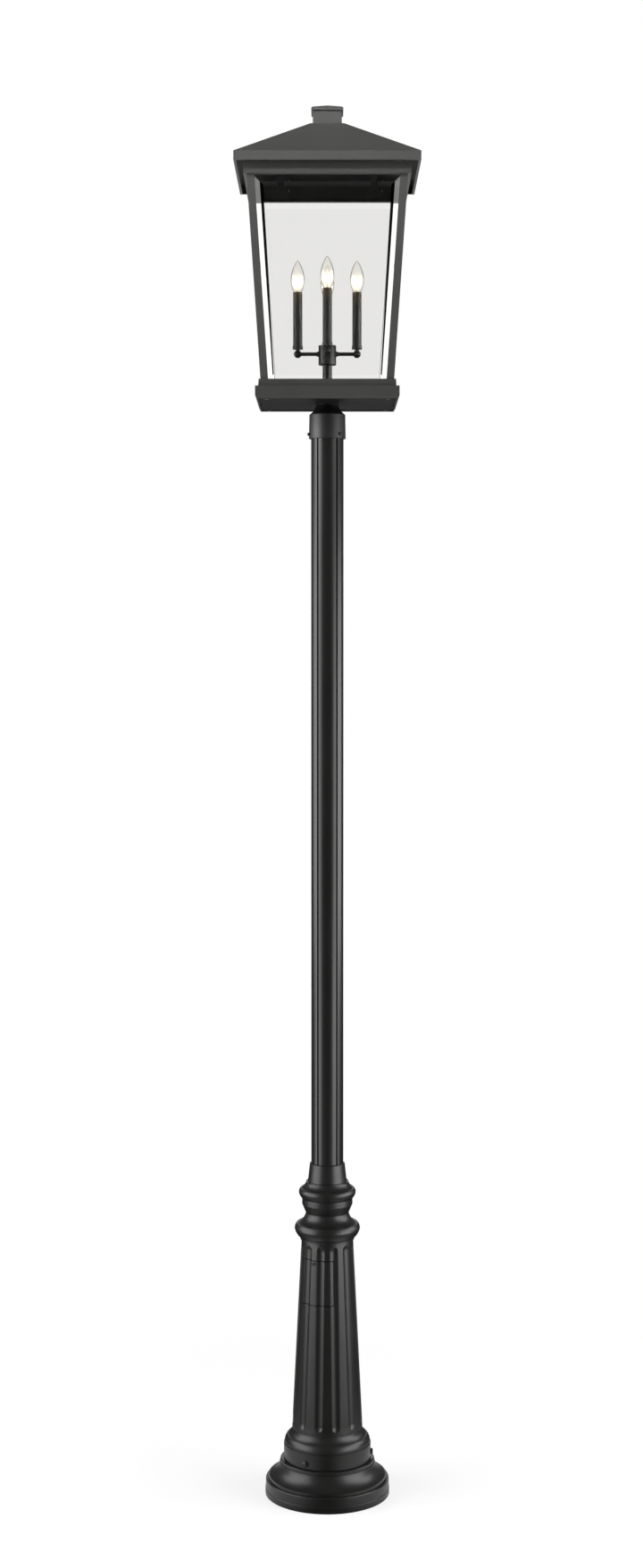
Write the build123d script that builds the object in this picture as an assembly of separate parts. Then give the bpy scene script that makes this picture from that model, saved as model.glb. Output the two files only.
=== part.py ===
from build123d import *
import math
import os

os.makedirs("parts", exist_ok=True)

# A post light: a square glass lantern with four candle lamps, on a round
# grooved post that stands in a fluted cast foot. Millimetres, +Z up, the
# origin on the floor under the post axis, the front of the lantern to -Y.

# Directions round the post axis, counted from +X
front = -90.0
door_azimuth = front - 30.0
side_angles = {"front": -90.0, "right": 0.0, "rear": 90.0, "left": 180.0}
corner_signs = {
    "front_left": (-1, -1),
    "front_right": (1, -1),
    "rear_right": (1, 1),
    "rear_left": (-1, 1),
}

# Clearances
sheet_gap = 0.3
thread_gap = 0.05
pin_gap = 0.05
door_gap = 1.6

# Ground flange, a turned casting that bolts to the footing
flange_r = 149.0
plinth_h = 14.0
plinth_step = 0.8
skirt_h = 38.0
skirt_draft = 0.6
skirt_rounding = 2.5
cove_in = 3.5
cove_h = 7.0
ogee_h = 33.0
ogee_foot_in = 2.5
ogee_top_r = 114.0
ogee_hollow = 5.0
bead_in = 1.5
bead_h = 6.0
seat_lip = 2.0
flange_wall = 7.0
floor_t = 10.0
floor_hole_r = 40.0
anchor_count = 4
anchor_circle_r = 70.0
anchor_hole_r = 7.0
collar_wall = 6.0
collar_h = 32.0

# Column, a turned and fluted casting that drops over the flange's collar
band_r = 104.3
band_h = 38.0
band_wall = 7.0
band_foot_chamfer = 1.5
ovolo_in = 2.0
ovolo_h = 20.0
ovolo_top_in = 7.0
ovolo_bulge = 2.6
foot_cavetto_h = 22.0
foot_cavetto_step = 1.6
foot_cavetto_hollow = 3.0
shaft_foot_r = 84.2
shaft_top_r = 61.7
shaft_h = 454.0
shaft_wall = 8.0
flute_count = 12
flute_w = 22.0
flute_depth = 4.0
flute_end_low = 6.0
flute_end_high = 7.0
lower_bead_r = 64.5
lower_bead_h = 4.0
lower_ring_r = 78.1
lower_ring_foot_h = 22.0
lower_ring_top_in = 5.0
lower_ring_top_h = 13.0
lower_ring_bulge = 2.4
neck_step = 1.6
neck_r = 51.2
neck_cavetto_h = 25.0
neck_cavetto_hollow = 4.5
neck_band_r = 60.2
neck_chamfer_h = 21.0
neck_band_h = 14.0
upper_ring_r = 68.1
upper_ring_foot_h = 15.0
upper_ring_top_in = 4.6
upper_ring_top_h = 9.5
upper_ring_bulge = 1.8
upper_step = 2.0
upper_cavetto_h = 13.5
upper_cavetto_hollow = 1.4
collar_ring_r = 50.7
collar_ring_h = 2.5
sleeve_foot_r = 46.4
sleeve_top_r = 41.6
sleeve_h = 44.5
sleeve_rounding = 1.5

# Access door in the shaft, its lugs and its screw
door_flutes = 3
door_drop = 40.0
door_h = 108.0
lug_t = 5.0
lug_reach = 12.0
lug_seat = 9.0
lug_half_angle = 14.0
door_screw_r = 2.0
door_screw_drop = 8.0
door_screw_head_r = 4.0
door_screw_head_h = 2.4

# Bolts that hold the column to the flange's collar
column_bolt_count = 3
column_bolt_drop = 13.0
column_bolt_r = 4.0
column_bolt_hole_r = 4.4
column_bolt_flats = 13.0
column_bolt_head_h = 5.3
column_bolt_chamfer = 1.6

# Post tube
tube_r = 38.1
tube_wall = 4.0
tube_len = 1925.0
tube_insertion = 160.0
tube_socket_gap = 0.2
tube_shelf_t = 10.0
groove_count = 5
groove_r = 2.2
grub_r = 3.0
grub_proud = 1.5
grub_drop = 22.0
grub_spread = 60.0
grub_socket_r = 1.5
grub_socket_depth = 2.5

# Post fitter: the cup over the top of the tube and the neck above it
cup_depth = 50.0
cup_mouth_r = 43.0
cup_top_r = 42.0
cup_h = 57.0
cup_gap = 0.4
cup_rounding = 1.6
neck_h = 24.0
fitter_neck_r = 26.4
fitter_neck_hollow = 2.2
fitter_bore_r = 8.0
set_screw_count = 3
set_screw_azimuth = front + 44.0
set_screw_height = 10.0
set_screw_r = 2.5
set_screw_head_r = 3.6
set_screw_head_h = 4.2
set_screw_key_flats = 3.0
set_screw_key_depth = 2.4
fitter_bolt_count = 3
fitter_bolt_azimuth = front + 60.0
fitter_bolt_circle_r = 17.5
fitter_bolt_r = 2.5
fitter_bolt_head_r = 4.2
fitter_bolt_head_h = 3.0
fitter_bolt_depth = 14.0

# Lantern foot: a stepped square frame closed by a plate from below
plate_t = 2.0
plate_recess = 3.0
lip_half = 159.5
lip_h = 8.0
foot_band_half = 164.0
foot_band_h = 21.5
gallery_half = 157.0
gallery_draft = 1.0
gallery_h = 16.0
gallery_wall = 3.5
lip_wall = 3.0
deck_t = 4.0
deck_depth = 7.5
deck_opening_half = 126.0
plate_gap = 0.5
plate_boss_r = 5.5
plate_boss_at = 138.0
plate_screw_r = 2.0
plate_screw_head_r = 4.0
plate_screw_head_h = 2.4
plate_screw_depth = 14.0

# Lantern cage: leaning corner posts, glass and top frame
cage_foot_half = 151.5
cage_h = 461.5
post_leg = 17.5
post_t = 2.2
tab_leg = 12.0
tab_t = 2.0
tab_gap = 0.2
foot_tab_h = 28.0
head_tab_h = 22.0
post_screw_r = 1.6
post_screw_in = 9.2
post_screw_skin = 0.6
post_screw_head_r = 2.7
post_screw_head_h = 1.4
foot_screw_height = 19.0
head_screw_drop = 11.0
glass_t = 4.0
glass_edge_t = 2.0
glass_bevel = 16.0
glass_side_in = 12.5
clip_t = 1.0
clip_h = 12.0
clip_cover = 18.0
clip_foot = 12.0
clip_offset = 30.0
rail_half = 189.0
rail_reveal = 7.5
rail_h = 25.0
rail_t = 2.0
rail_flange = 21.0

# Roof
eave_overhang = 21.0
fascia_h = 20.5
roof_top_half = 39.0
roof_rise = 96.0
roof_t = 1.5
soffit_lip = 6.0
rest_tab_w = 20.0
rest_tab_t = 1.5
front_tab_at = 120.0
side_tab_at = 60.0
chimney_half = 33.5
chimney_h = 30.5
chimney_wall = 1.5
cap_half = 37.0
cap_skirt_h = 5.5
cap_bevel_in = 4.0
cap_bevel_h = 3.0
cap_rise = 9.0
cap_spigot_h = 5.0
cap_bolt_r = 2.5
cap_bolt_head_r = 4.5
cap_bolt_head_h = 3.5

# Hinges at the rear of the roof
hinge_at = 112.0
leaf_w = 38.0
leaf_t = 1.5
leaf_drop = 19.0
knuckle_r = 3.0
middle_knuckle_w = 16.0
hinge_pin_r = 1.5
hinge_rise = 3.3
roof_leaf_len = 14.0

# Lamp cluster
stem_r = 11.0
stem_bore_r = 6.0
stem_h = 88.0
stem_foot_r = 23.5
stem_foot_t = 3.0
spigot_r = 8.0
spigot_h = 16.0
stem_nut_flats = 22.0
stem_nut_h = 5.0
hub_r = 20.5
hub_h = 35.0
hub_wall = 3.0
hub_cap_h = 10.0
hub_cap_t = 3.0
hub_cap_rim_h = 4.0
arm_height = 15.5
arm_reach = 69.0
arm_r = 4.3
arm_bore_r = 2.4
arm_flare_r = 6.6
arm_flare_len = 6.0
arm_tail = 2.0
ball_r = 9.2
ball_neck_r = 4.6
ball_neck_h = 11.0
nipple_r = 3.5
nipple_h = 5.0
cup_ring_r = 11.9
cup_ring_h = 8.0
cup_ring_wall = 0.9
cup_ring_floor = 1.5
sleeve_r = 10.7
candle_wall = 1.0
candle_h = 130.0
socket_r = 8.4
socket_bore_r = 6.9
socket_h = 46.0
socket_top_in = 4.0
socket_bore_depth = 22.0
socket_leg_w = 8.0
socket_leg_t = 1.4
socket_foot_t = 1.5
socket_foot_r = 6.5

# Lamps
lamp_base_r = 6.0
lamp_tip_r = 2.0
lamp_tip_h = 4.0
lamp_collar_r = 7.6
lamp_collar_h = 1.5
glass_neck_r = 7.2
bulb_r = 16.0
bulb_belly_h = 30.0
bulb_h = 75.0
bulb_nose_r = 5.0
bulb_nose_h = 68.0
bulb_wall = 0.8
mount_stem_r = 3.0
mount_stem_h = 16.0
lead_r = 0.45
lead_spread = 5.0
lead_h = 22.0
coil_r = 0.9

# Heights above the floor, stacked from the ground up
seat_z = skirt_h + cove_h + ogee_h + bead_h + seat_lip
band_top_z = seat_z + band_h
ovolo_top_z = band_top_z + ovolo_h
shaft_foot_z = ovolo_top_z + foot_cavetto_h
shaft_top_z = shaft_foot_z + shaft_h
lower_widest_z = shaft_top_z + lower_bead_h + lower_ring_foot_h
lower_ring_top_z = lower_widest_z + lower_ring_top_h
neck_z = lower_ring_top_z + neck_cavetto_h
neck_band_z = neck_z + neck_chamfer_h
neck_band_top_z = neck_band_z + neck_band_h
upper_widest_z = neck_band_top_z + upper_ring_foot_h
upper_ring_top_z = upper_widest_z + upper_ring_top_h
collar_ring_z = upper_ring_top_z + upper_cavetto_h
sleeve_z = collar_ring_z + collar_ring_h
column_top_z = sleeve_z + sleeve_h
shelf_z = column_top_z - tube_insertion
tube_top_z = shelf_z + tube_len
cup_z = tube_top_z - cup_depth
cup_top_z = cup_z + cup_h
plate_z = cup_top_z + neck_h
lip_z = plate_z - plate_recess
foot_band_z = lip_z + lip_h
gallery_z = foot_band_z + foot_band_h
gallery_top_z = gallery_z + gallery_h
deck_z = gallery_top_z - deck_depth
cage_top_z = deck_z + cage_h
eave_z = cage_top_z + rail_h
roof_z = eave_z + fascia_h
roof_top_z = roof_z + roof_rise
cap_z = roof_top_z + chimney_h
stem_foot_z = plate_z + plate_t
hub_cap_z = stem_foot_z + stem_h
hub_z = hub_cap_z + hub_cap_h
arm_z = hub_z + arm_height
candle_cup_z = arm_z + ball_neck_h
candle_z = candle_cup_z + cup_ring_floor
candle_top_z = candle_z + candle_h

# Sizes that follow from others
band_bore_r = band_r - band_wall
collar_r = band_bore_r - sheet_gap
collar_top_z = seat_z + collar_h
shaft_lean = math.atan2(shaft_foot_r - shaft_top_r, shaft_h)
flute_pitch = 360.0 / flute_count
door_half_angle = flute_pitch * door_flutes / 2
door_top_z = shaft_top_z - door_drop
door_z = door_top_z - door_h
eave_half = rail_half + eave_overhang
cage_top_half = rail_half - rail_reveal
cage_lean = math.atan2(cage_top_half - cage_foot_half, cage_h)
roof_pitch = math.atan2(roof_rise, eave_half - roof_top_half)
hinge_y = rail_half - rail_t - knuckle_r
hinge_z = eave_z + hinge_rise
far = 2 * eave_half


def turned(*runs):
    """A solid of revolution about the post axis, from runs drawn as (radius, height)."""
    edges = [edge for run in runs for edge in run.edges()]
    return revolve(Plane.XZ * make_face(edges), Axis.Z)


def bow(start, end, sagitta):
    """An arc from start to end that stands off its chord, outward when sagitta is positive."""
    across = end[0] - start[0]
    up = end[1] - start[1]
    chord = math.hypot(across, up)
    middle = (
        (start[0] + end[0]) / 2 + sagitta * abs(up) / chord,
        (start[1] + end[1]) / 2 - sagitta * across / chord * math.copysign(1, up),
    )
    return ThreePointArc(start, middle, end)


def around(count, first=0.0):
    """Placements turned evenly round the post axis."""
    return [Rot(Z=first + 360.0 * k / count) for k in range(count)]


def square(half, low_z, high_z, top_half=None):
    """A square block on the post axis, tapered where its top half width differs."""
    if top_half is None or abs(top_half - half) < 1e-6:
        return Pos(0, 0, low_z) * Box(
            2 * half, 2 * half, high_z - low_z, align=(Align.CENTER, Align.CENTER, Align.MIN)
        )
    low = Pos(0, 0, low_z) * Rectangle(2 * half, 2 * half)
    high = Pos(0, 0, high_z) * Rectangle(2 * top_half, 2 * top_half)
    return loft([low.face(), high.face()], ruled=True)


def upright(radius, low_z, high_z):
    """A round bar on the post axis."""
    return Pos(0, 0, low_z) * Cylinder(
        radius, high_z - low_z, align=(Align.CENTER, Align.CENTER, Align.MIN)
    )


def lying(radius, start, length):
    """A round bar along +X that starts at the point start."""
    return Pos(*start) * Rot(Y=90) * Cylinder(
        radius, length, align=(Align.CENTER, Align.CENTER, Align.MIN)
    )


def hexagon_bar(flats, start, length):
    """A hexagonal bar along +X that starts at the point start."""
    outline = RegularPolygon(flats / 2, 6, major_radius=False)
    return Pos(*start) * Rot(Y=90) * extrude(outline, length)


def group(solids):
    """Separate solids kept together in one sub-part."""
    return Compound(children=[item.solid() for item in solids])


# Ground flange


def flange_outline():
    """The flange's outside, from the floor up to the seat under the column."""
    step_r = flange_r - plinth_step
    skirt_r = step_r - skirt_draft
    rounding_foot = (skirt_r, skirt_h - skirt_rounding)
    rounding_bulge = skirt_rounding * (1 - math.sqrt(0.5))
    cove_r = skirt_r - skirt_rounding - cove_in
    cove_z = skirt_h + cove_h
    ogee_foot = (cove_r - ogee_foot_in, cove_z)
    ogee_top = (ogee_top_r, cove_z + ogee_h)
    bead_r = ogee_top_r - bead_in
    bead_z = cove_z + ogee_h
    return [
        Polyline(
            (flange_r, 0),
            (flange_r, plinth_h),
            (step_r, plinth_h + plinth_step),
            rounding_foot,
        ),
        bow(rounding_foot, (skirt_r - skirt_rounding, skirt_h), rounding_bulge),
        Polyline((skirt_r - skirt_rounding, skirt_h), (cove_r, skirt_h), (cove_r, cove_z), ogee_foot),
        bow(ogee_foot, ogee_top, -ogee_hollow),
        Polyline(
            ogee_top,
            (bead_r, bead_z),
            (bead_r, bead_z + bead_h),
            (bead_r - seat_lip, seat_z),
            (collar_r, seat_z),
        ),
    ]


def column_bolt_z():
    return band_top_z - band_h + column_bolt_drop


def base_flange():
    """Ground flange: moulded skirt, floor ring with anchor holes, and the collar inside the column."""
    inner_r = collar_r - collar_wall
    web_z = seat_z - 2 * flange_wall
    skirt_in = flange_r - plinth_step - skirt_draft - flange_wall
    inside = Polyline(
        (collar_r, seat_z),
        (collar_r, collar_top_z),
        (inner_r, collar_top_z),
        (inner_r, floor_t),
        (floor_hole_r, floor_t),
        (floor_hole_r, 0),
        (collar_r, 0),
        (collar_r, web_z),
        (ogee_top_r - flange_wall, web_z),
        (skirt_in, skirt_h - flange_wall),
        (skirt_in, 0),
        (flange_r, 0),
    )
    body = turned(*flange_outline(), inside)
    for place in around(anchor_count, 360.0 / anchor_count / 2):
        body -= place * Pos(anchor_circle_r, 0, 0) * upright(anchor_hole_r, -1, floor_t + 1)
    for place in around(column_bolt_count, door_azimuth):
        body -= place * lying(column_bolt_r + thread_gap, (inner_r - 1, 0, column_bolt_z()), collar_wall + 2)
    return body


# Column and access door


def column_outline():
    """The column's outside, from the seat on the flange up to the rim round the post."""
    ovolo_r = band_r - ovolo_in
    ovolo_top_r = ovolo_r - ovolo_top_in
    cavetto_top_r = ovolo_top_r - foot_cavetto_step
    lower_foot_z = shaft_top_z + lower_bead_h
    lower_edge_r = lower_ring_r - lower_ring_top_in
    upper_edge_r = upper_ring_r - upper_ring_top_in
    upper_cavetto_foot = (upper_edge_r - upper_step, upper_ring_top_z)
    rim_r = sleeve_top_r - sleeve_rounding
    return [
        Polyline(
            (band_bore_r, seat_z),
            (band_r - band_foot_chamfer, seat_z),
            (band_r, seat_z + band_foot_chamfer),
            (band_r, band_top_z),
            (ovolo_r, band_top_z),
        ),
        bow((ovolo_r, band_top_z), (ovolo_top_r, ovolo_top_z), ovolo_bulge),
        Line((ovolo_top_r, ovolo_top_z), (cavetto_top_r, ovolo_top_z)),
        bow((cavetto_top_r, ovolo_top_z), (shaft_foot_r, shaft_foot_z), -foot_cavetto_hollow),
        Polyline(
            (shaft_foot_r, shaft_foot_z),
            (shaft_top_r, shaft_top_z),
            (lower_bead_r, shaft_top_z),
            (lower_bead_r, lower_foot_z),
        ),
        bow((lower_bead_r, lower_foot_z), (lower_ring_r, lower_widest_z), lower_ring_bulge),
        bow((lower_ring_r, lower_widest_z), (lower_edge_r, lower_ring_top_z), lower_ring_bulge / 2),
        Line((lower_edge_r, lower_ring_top_z), (lower_edge_r - neck_step, lower_ring_top_z)),
        bow((lower_edge_r - neck_step, lower_ring_top_z), (neck_r, neck_z), -neck_cavetto_hollow),
        Polyline(
            (neck_r, neck_z),
            (neck_band_r, neck_band_z),
            (neck_band_r, neck_band_top_z),
        ),
        bow((neck_band_r, neck_band_top_z), (upper_ring_r, upper_widest_z), upper_ring_bulge),
        bow((upper_ring_r, upper_widest_z), (upper_edge_r, upper_ring_top_z), upper_ring_bulge / 2),
        Line((upper_edge_r, upper_ring_top_z), upper_cavetto_foot),
        bow(upper_cavetto_foot, (collar_ring_r, collar_ring_z), -upper_cavetto_hollow),
        Polyline(
            (collar_ring_r, collar_ring_z),
            (collar_ring_r, sleeve_z),
            (sleeve_foot_r, sleeve_z),
            (sleeve_top_r, column_top_z - sleeve_rounding),
            (rim_r, column_top_z),
            (tube_r + tube_socket_gap, column_top_z),
        ),
    ]


def shaft_inner_r(z):
    """Radius of the column's hollow at a height within the shaft."""
    return shaft_foot_r - (z - shaft_foot_z) * math.tan(shaft_lean) - shaft_wall


def flute_cutter():
    """One round-ended flute, on the +X side of the shaft."""
    ball = ((flute_w / 2) ** 2 + flute_depth**2) / (2 * flute_depth)
    end = flute_w / 2 * math.cos(shaft_lean)
    low_z = shaft_foot_z + flute_end_low + end
    high_z = shaft_top_z - flute_end_high - end
    off = ball - flute_depth

    def centre(z):
        surface_r = shaft_foot_r - (z - shaft_foot_z) * math.tan(shaft_lean)
        return Vector(surface_r + off * math.cos(shaft_lean), 0, z + off * math.sin(shaft_lean))

    low = centre(low_z)
    high = centre(high_z)
    run = Plane(origin=low, z_dir=high - low) * Cylinder(
        ball, (high - low).length, align=(Align.CENTER, Align.CENTER, Align.MIN)
    )
    return run + Pos(*low) * Sphere(ball) + Pos(*high) * Sphere(ball)


def column_wall():
    """The fluted casting before its door, bolt and screw holes are cut."""
    inside = Polyline(
        (tube_r + tube_socket_gap, column_top_z),
        (tube_r + tube_socket_gap, shelf_z),
        (tube_r - tube_wall, shelf_z),
        (tube_r - tube_wall, shelf_z - tube_shelf_t),
        (shaft_inner_r(shaft_top_z), shelf_z - 2 * tube_shelf_t),
        (shaft_inner_r(shaft_foot_z), shaft_foot_z),
        (band_bore_r, collar_top_z + sheet_gap),
        (band_bore_r, seat_z),
    )
    wall = turned(*column_outline(), inside)
    cutter = flute_cutter()
    cutters = [place * cutter for place in around(flute_count, door_azimuth + flute_pitch / 2)]
    return wall - cutters


def door_region(gap):
    """The wedge of the shaft that the door fills, drawn in by gap on every side."""
    apex = gap / math.sin(math.radians(door_half_angle))
    reach = far * math.tan(math.radians(door_half_angle))
    outline = Polyline((apex, 0), (apex + far, -reach), (apex + far, reach), close=True)
    wedge = extrude(make_face(outline.edges()), door_h - 2 * gap)
    return Rot(Z=door_azimuth) * Pos(0, 0, door_z + gap) * wedge


def door_lug(edge_z, into):
    """A lug behind one edge of the door opening; into is the way towards the door."""
    tail_z = edge_z - into * lug_seat
    tip_z = edge_z + into * lug_reach
    outline = Polyline(
        (shaft_inner_r(tail_z) + 1, tail_z),
        (shaft_inner_r(edge_z) + 1, edge_z),
        (shaft_inner_r(edge_z) - sheet_gap, edge_z),
        (shaft_inner_r(tip_z) - sheet_gap, tip_z),
        (shaft_inner_r(tip_z) - lug_t, tip_z),
        (shaft_inner_r(tail_z) - lug_t, tail_z),
        close=True,
    )
    ring = turned(outline)
    reach = far * math.tan(math.radians(lug_half_angle))
    wedge_outline = Polyline((0, 0), (far, -reach), (far, reach), close=True)
    low_z = min(tail_z, tip_z) - 1
    wedge = extrude(make_face(wedge_outline.edges()), lug_seat + lug_reach + 2)
    return ring & (Rot(Z=door_azimuth) * Pos(0, 0, low_z) * wedge)


def door_screw_place():
    """The door screw's axis, square to the shaft axis, out through the ridge."""
    return Rot(Z=door_azimuth) * Pos(0, 0, door_top_z - door_screw_drop)


def grub_z():
    return column_top_z - grub_drop


def base_column(wall):
    """Fluted column with the door opening, its lugs, and holes for bolts and grub screws."""
    body = wall - door_region(0)
    body += door_lug(door_top_z, -1)
    body += door_lug(door_z, 1)
    body -= door_screw_place() * lying(door_screw_r + thread_gap, (0, 0, 0), shaft_foot_r)
    for place in around(column_bolt_count, door_azimuth):
        body -= place * lying(column_bolt_hole_r, (band_bore_r - 1, 0, column_bolt_z()), band_wall + 2)
    for turn in (-grub_spread / 2, grub_spread / 2):
        body -= Rot(Z=-front + turn) * lying(grub_r + thread_gap, (tube_r - 1, 0, grub_z()), sleeve_foot_r)
    return body


def access_door(wall):
    """Curved, fluted cover of the wiring hole, cut from the same wall as the column."""
    body = wall & door_region(door_gap)
    return body - door_screw_place() * lying(door_screw_r + sheet_gap, (0, 0, 0), far)


def access_door_screw():
    """Pan-head screw through the door into the upper lug."""
    z = door_top_z - door_screw_drop
    outer_r = shaft_inner_r(z - door_screw_head_r) + shaft_wall
    start = shaft_inner_r(z) - lug_t
    shank = lying(door_screw_r, (start, 0, 0), outer_r - start)
    head = lying(door_screw_head_r, (outer_r, 0, 0), door_screw_head_h)
    slot = Pos(outer_r + door_screw_head_h, 0, 0) * Box(door_screw_head_h, 1.2, 3 * door_screw_head_r)
    return door_screw_place() * (shank + head - slot)


def column_bolts():
    """Hexagon bolts through the column's band into the flange's collar."""
    start = collar_r - collar_wall
    shank = lying(column_bolt_r, (start, 0, 0), band_r - start)
    corner_r = column_bolt_flats / math.sqrt(3)
    head = hexagon_bar(column_bolt_flats, (band_r, 0, 0), column_bolt_head_h)
    round_h = column_bolt_head_h - column_bolt_chamfer
    limit = lying(corner_r, (band_r, 0, 0), round_h)
    limit += Pos(band_r + round_h, 0, 0) * Rot(Y=90) * Cone(
        corner_r,
        corner_r - 2 * column_bolt_chamfer,
        column_bolt_chamfer,
        align=(Align.CENTER, Align.CENTER, Align.MIN),
    )
    bolt = shank + (head & limit)
    lift = Pos(0, 0, column_bolt_z())
    return group([place * lift * bolt for place in around(column_bolt_count, door_azimuth)])


def post_tube():
    """Round post tube with narrow grooves, standing on the shelf inside the column."""
    body = upright(tube_r, shelf_z, tube_top_z) - upright(tube_r - tube_wall, shelf_z - 1, tube_top_z + 1)
    first = -front
    for place in around(groove_count, first):
        body -= place * Pos(tube_r, 0, 0) * upright(groove_r, shelf_z - 1, tube_top_z + 1)
    return body


def post_grub_screws():
    """Socket grub screws at the rear of the column's rim that grip the tube."""
    surface_r = sleeve_foot_r - (grub_z() - sleeve_z) * (sleeve_foot_r - sleeve_top_r) / sleeve_h
    length = surface_r + grub_proud - tube_r
    body = lying(grub_r, (tube_r, 0, grub_z()), length)
    body -= lying(grub_socket_r, (tube_r + length - grub_socket_depth, 0, grub_z()), grub_socket_depth + 1)
    return group([Rot(Z=-front + turn) * body for turn in (-grub_spread / 2, grub_spread / 2)])


# Post fitter


def fitter_bolt_places():
    turns = around(fitter_bolt_count, fitter_bolt_azimuth)
    return [turn * Pos(fitter_bolt_circle_r, 0, 0) for turn in turns]


def post_fitter():
    """Cup over the top of the post, and the flared neck under the lantern."""
    shoulder_r = cup_top_r - cup_rounding
    flare_z = plate_z - plate_recess
    body = turned(
        Polyline(
            (tube_r + cup_gap, cup_z),
            (cup_mouth_r, cup_z),
            (cup_top_r, cup_top_z - cup_rounding),
            (shoulder_r, cup_top_z),
        ),
        bow((shoulder_r, cup_top_z), (fitter_neck_r, flare_z), -fitter_neck_hollow),
        Polyline(
            (fitter_neck_r, flare_z),
            (fitter_neck_r, plate_z),
            (fitter_bore_r, plate_z),
            (fitter_bore_r, tube_top_z),
            (tube_r + cup_gap, tube_top_z),
            (tube_r + cup_gap, cup_z),
        ),
    )
    for place in fitter_bolt_places():
        body -= place * upright(fitter_bolt_r + thread_gap, plate_z - fitter_bolt_depth, plate_z + 1)
    for place in around(set_screw_count, set_screw_azimuth):
        body -= place * lying(set_screw_r + thread_gap, (tube_r, 0, cup_z + set_screw_height), cup_mouth_r)
    return body


def fitter_set_screws():
    """Screws through the cup that clamp the lantern to the post at any bearing."""
    z = cup_z + set_screw_height
    low_edge = set_screw_height - set_screw_head_r
    outer_r = cup_mouth_r - (cup_mouth_r - cup_top_r) * low_edge / (cup_h - cup_rounding)
    tip_r = tube_r + sheet_gap
    screw = lying(set_screw_r, (tip_r, 0, z), outer_r - tip_r)
    screw += lying(set_screw_head_r, (outer_r, 0, z), set_screw_head_h)
    end_r = outer_r + set_screw_head_h
    screw -= hexagon_bar(set_screw_key_flats, (end_r - set_screw_key_depth, 0, z), 2 * set_screw_key_depth)
    return group([place * screw for place in around(set_screw_count, set_screw_azimuth)])


def fitter_bolts():
    """Bolts down through the stem's foot and the plate into the fitter's neck."""
    top_z = stem_foot_z + stem_foot_t
    bolt = upright(fitter_bolt_r, plate_z - fitter_bolt_depth + 1, top_z)
    bolt += upright(fitter_bolt_head_r, top_z, top_z + fitter_bolt_head_h)
    return group([place * bolt for place in fitter_bolt_places()])


# Lantern foot


def corner_places(at):
    return [Pos(sx * at, sy * at, 0) for sx, sy in corner_signs.values()]


def cage_half(z):
    """Half width of the leaning cage at a height, measured on the outside of the posts."""
    return cage_foot_half + (z - deck_z) * math.tan(cage_lean)


def corner_prism(points, low_z, high_z, signs):
    """A bar that leans with a corner of the cage; points are distances in from its two faces."""
    sections = []
    for z in (low_z, high_z):
        half = cage_half(z)
        corners = [(signs[0] * (half - a), signs[1] * (half - b)) for a, b in points]
        outline = Polyline(*corners, close=True)
        sections.append(Pos(0, 0, z) * make_face(outline.edges()))
    return loft([section.face() for section in sections], ruled=True)


def angle_points(start, leg, thick):
    """An angle section that starts in from both faces of a corner."""
    inner = start + thick
    return [(start, start), (leg, start), (leg, inner), (inner, inner), (inner, leg), (start, leg)]


def post_screw_places(z):
    """The screws through both legs of every post at a height, square to the leaning faces."""
    places = []
    across = cage_half(z) - post_screw_in
    for turn in side_angles.values():
        for side in (-1, 1):
            lean = Pos(cage_half(z), side * across, z) * Rot(Y=math.degrees(cage_lean))
            places.append(Rot(Z=turn) * lean)
    return places


def post_screw_heights():
    return (deck_z + foot_screw_height, cage_top_z - head_screw_drop)


def screw_holes(radius, z):
    """Bores from inside that stop short of the posts' outer faces."""
    length = post_leg / 2
    start = (-length - post_screw_skin, 0, 0)
    return [place * lying(radius, start, length) for place in post_screw_places(z)]


def base_frame():
    """Stepped square foot of the lantern, with a deck for the glass and tabs for the posts."""
    body = square(lip_half, lip_z, foot_band_z, foot_band_half)
    body += square(foot_band_half, foot_band_z, gallery_z)
    body += square(gallery_half, gallery_z, gallery_top_z, gallery_half - gallery_draft)
    body -= square(lip_half - lip_wall, lip_z - 1, deck_z - deck_t)
    body -= square(gallery_half - gallery_draft - gallery_wall, deck_z, gallery_top_z + 1)
    body -= square(deck_opening_half, lip_z, gallery_top_z)
    for place in corner_places(plate_boss_at):
        body += place * upright(plate_boss_r, plate_z + plate_t, deck_z - deck_t)
    for place in corner_places(plate_boss_at):
        body -= place * upright(plate_screw_r + thread_gap, plate_z, plate_z + plate_t + plate_screw_depth)
    tab = angle_points(post_t + tab_gap, tab_leg, tab_t)
    for signs in corner_signs.values():
        body += corner_prism(tab, deck_z, deck_z + foot_tab_h, signs)
    return body - screw_holes(post_screw_r + thread_gap, post_screw_heights()[0])


def bottom_plate():
    """Plate that closes the lantern's foot from below and carries the stem and fitter."""
    half = lip_half - lip_wall - plate_gap
    body = square(half, plate_z, plate_z + plate_t)
    body -= upright(fitter_bore_r, plate_z - 1, stem_foot_z + 1)
    for place in fitter_bolt_places():
        body -= place * upright(fitter_bolt_r + sheet_gap, plate_z - 1, stem_foot_z + 1)
    for place in corner_places(plate_boss_at):
        body -= place * upright(plate_screw_r + sheet_gap, plate_z - 1, stem_foot_z + 1)
    return body


def bottom_plate_screws():
    """Screws up through the plate into the bosses of the foot."""
    screw = upright(plate_screw_r, plate_z, plate_z + plate_t + plate_screw_depth - 1)
    screw += upright(plate_screw_head_r, plate_z - plate_screw_head_h, plate_z)
    return group([place * screw for place in corner_places(plate_boss_at)])


# Lantern cage


def corner_post(signs):
    """Angle post that leans outward from the foot to the top frame."""
    body = corner_prism(angle_points(0, post_leg, post_t), deck_z, cage_top_z, signs)
    for z in post_screw_heights():
        body -= screw_holes(post_screw_r + thread_gap, z)
    return body


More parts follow.
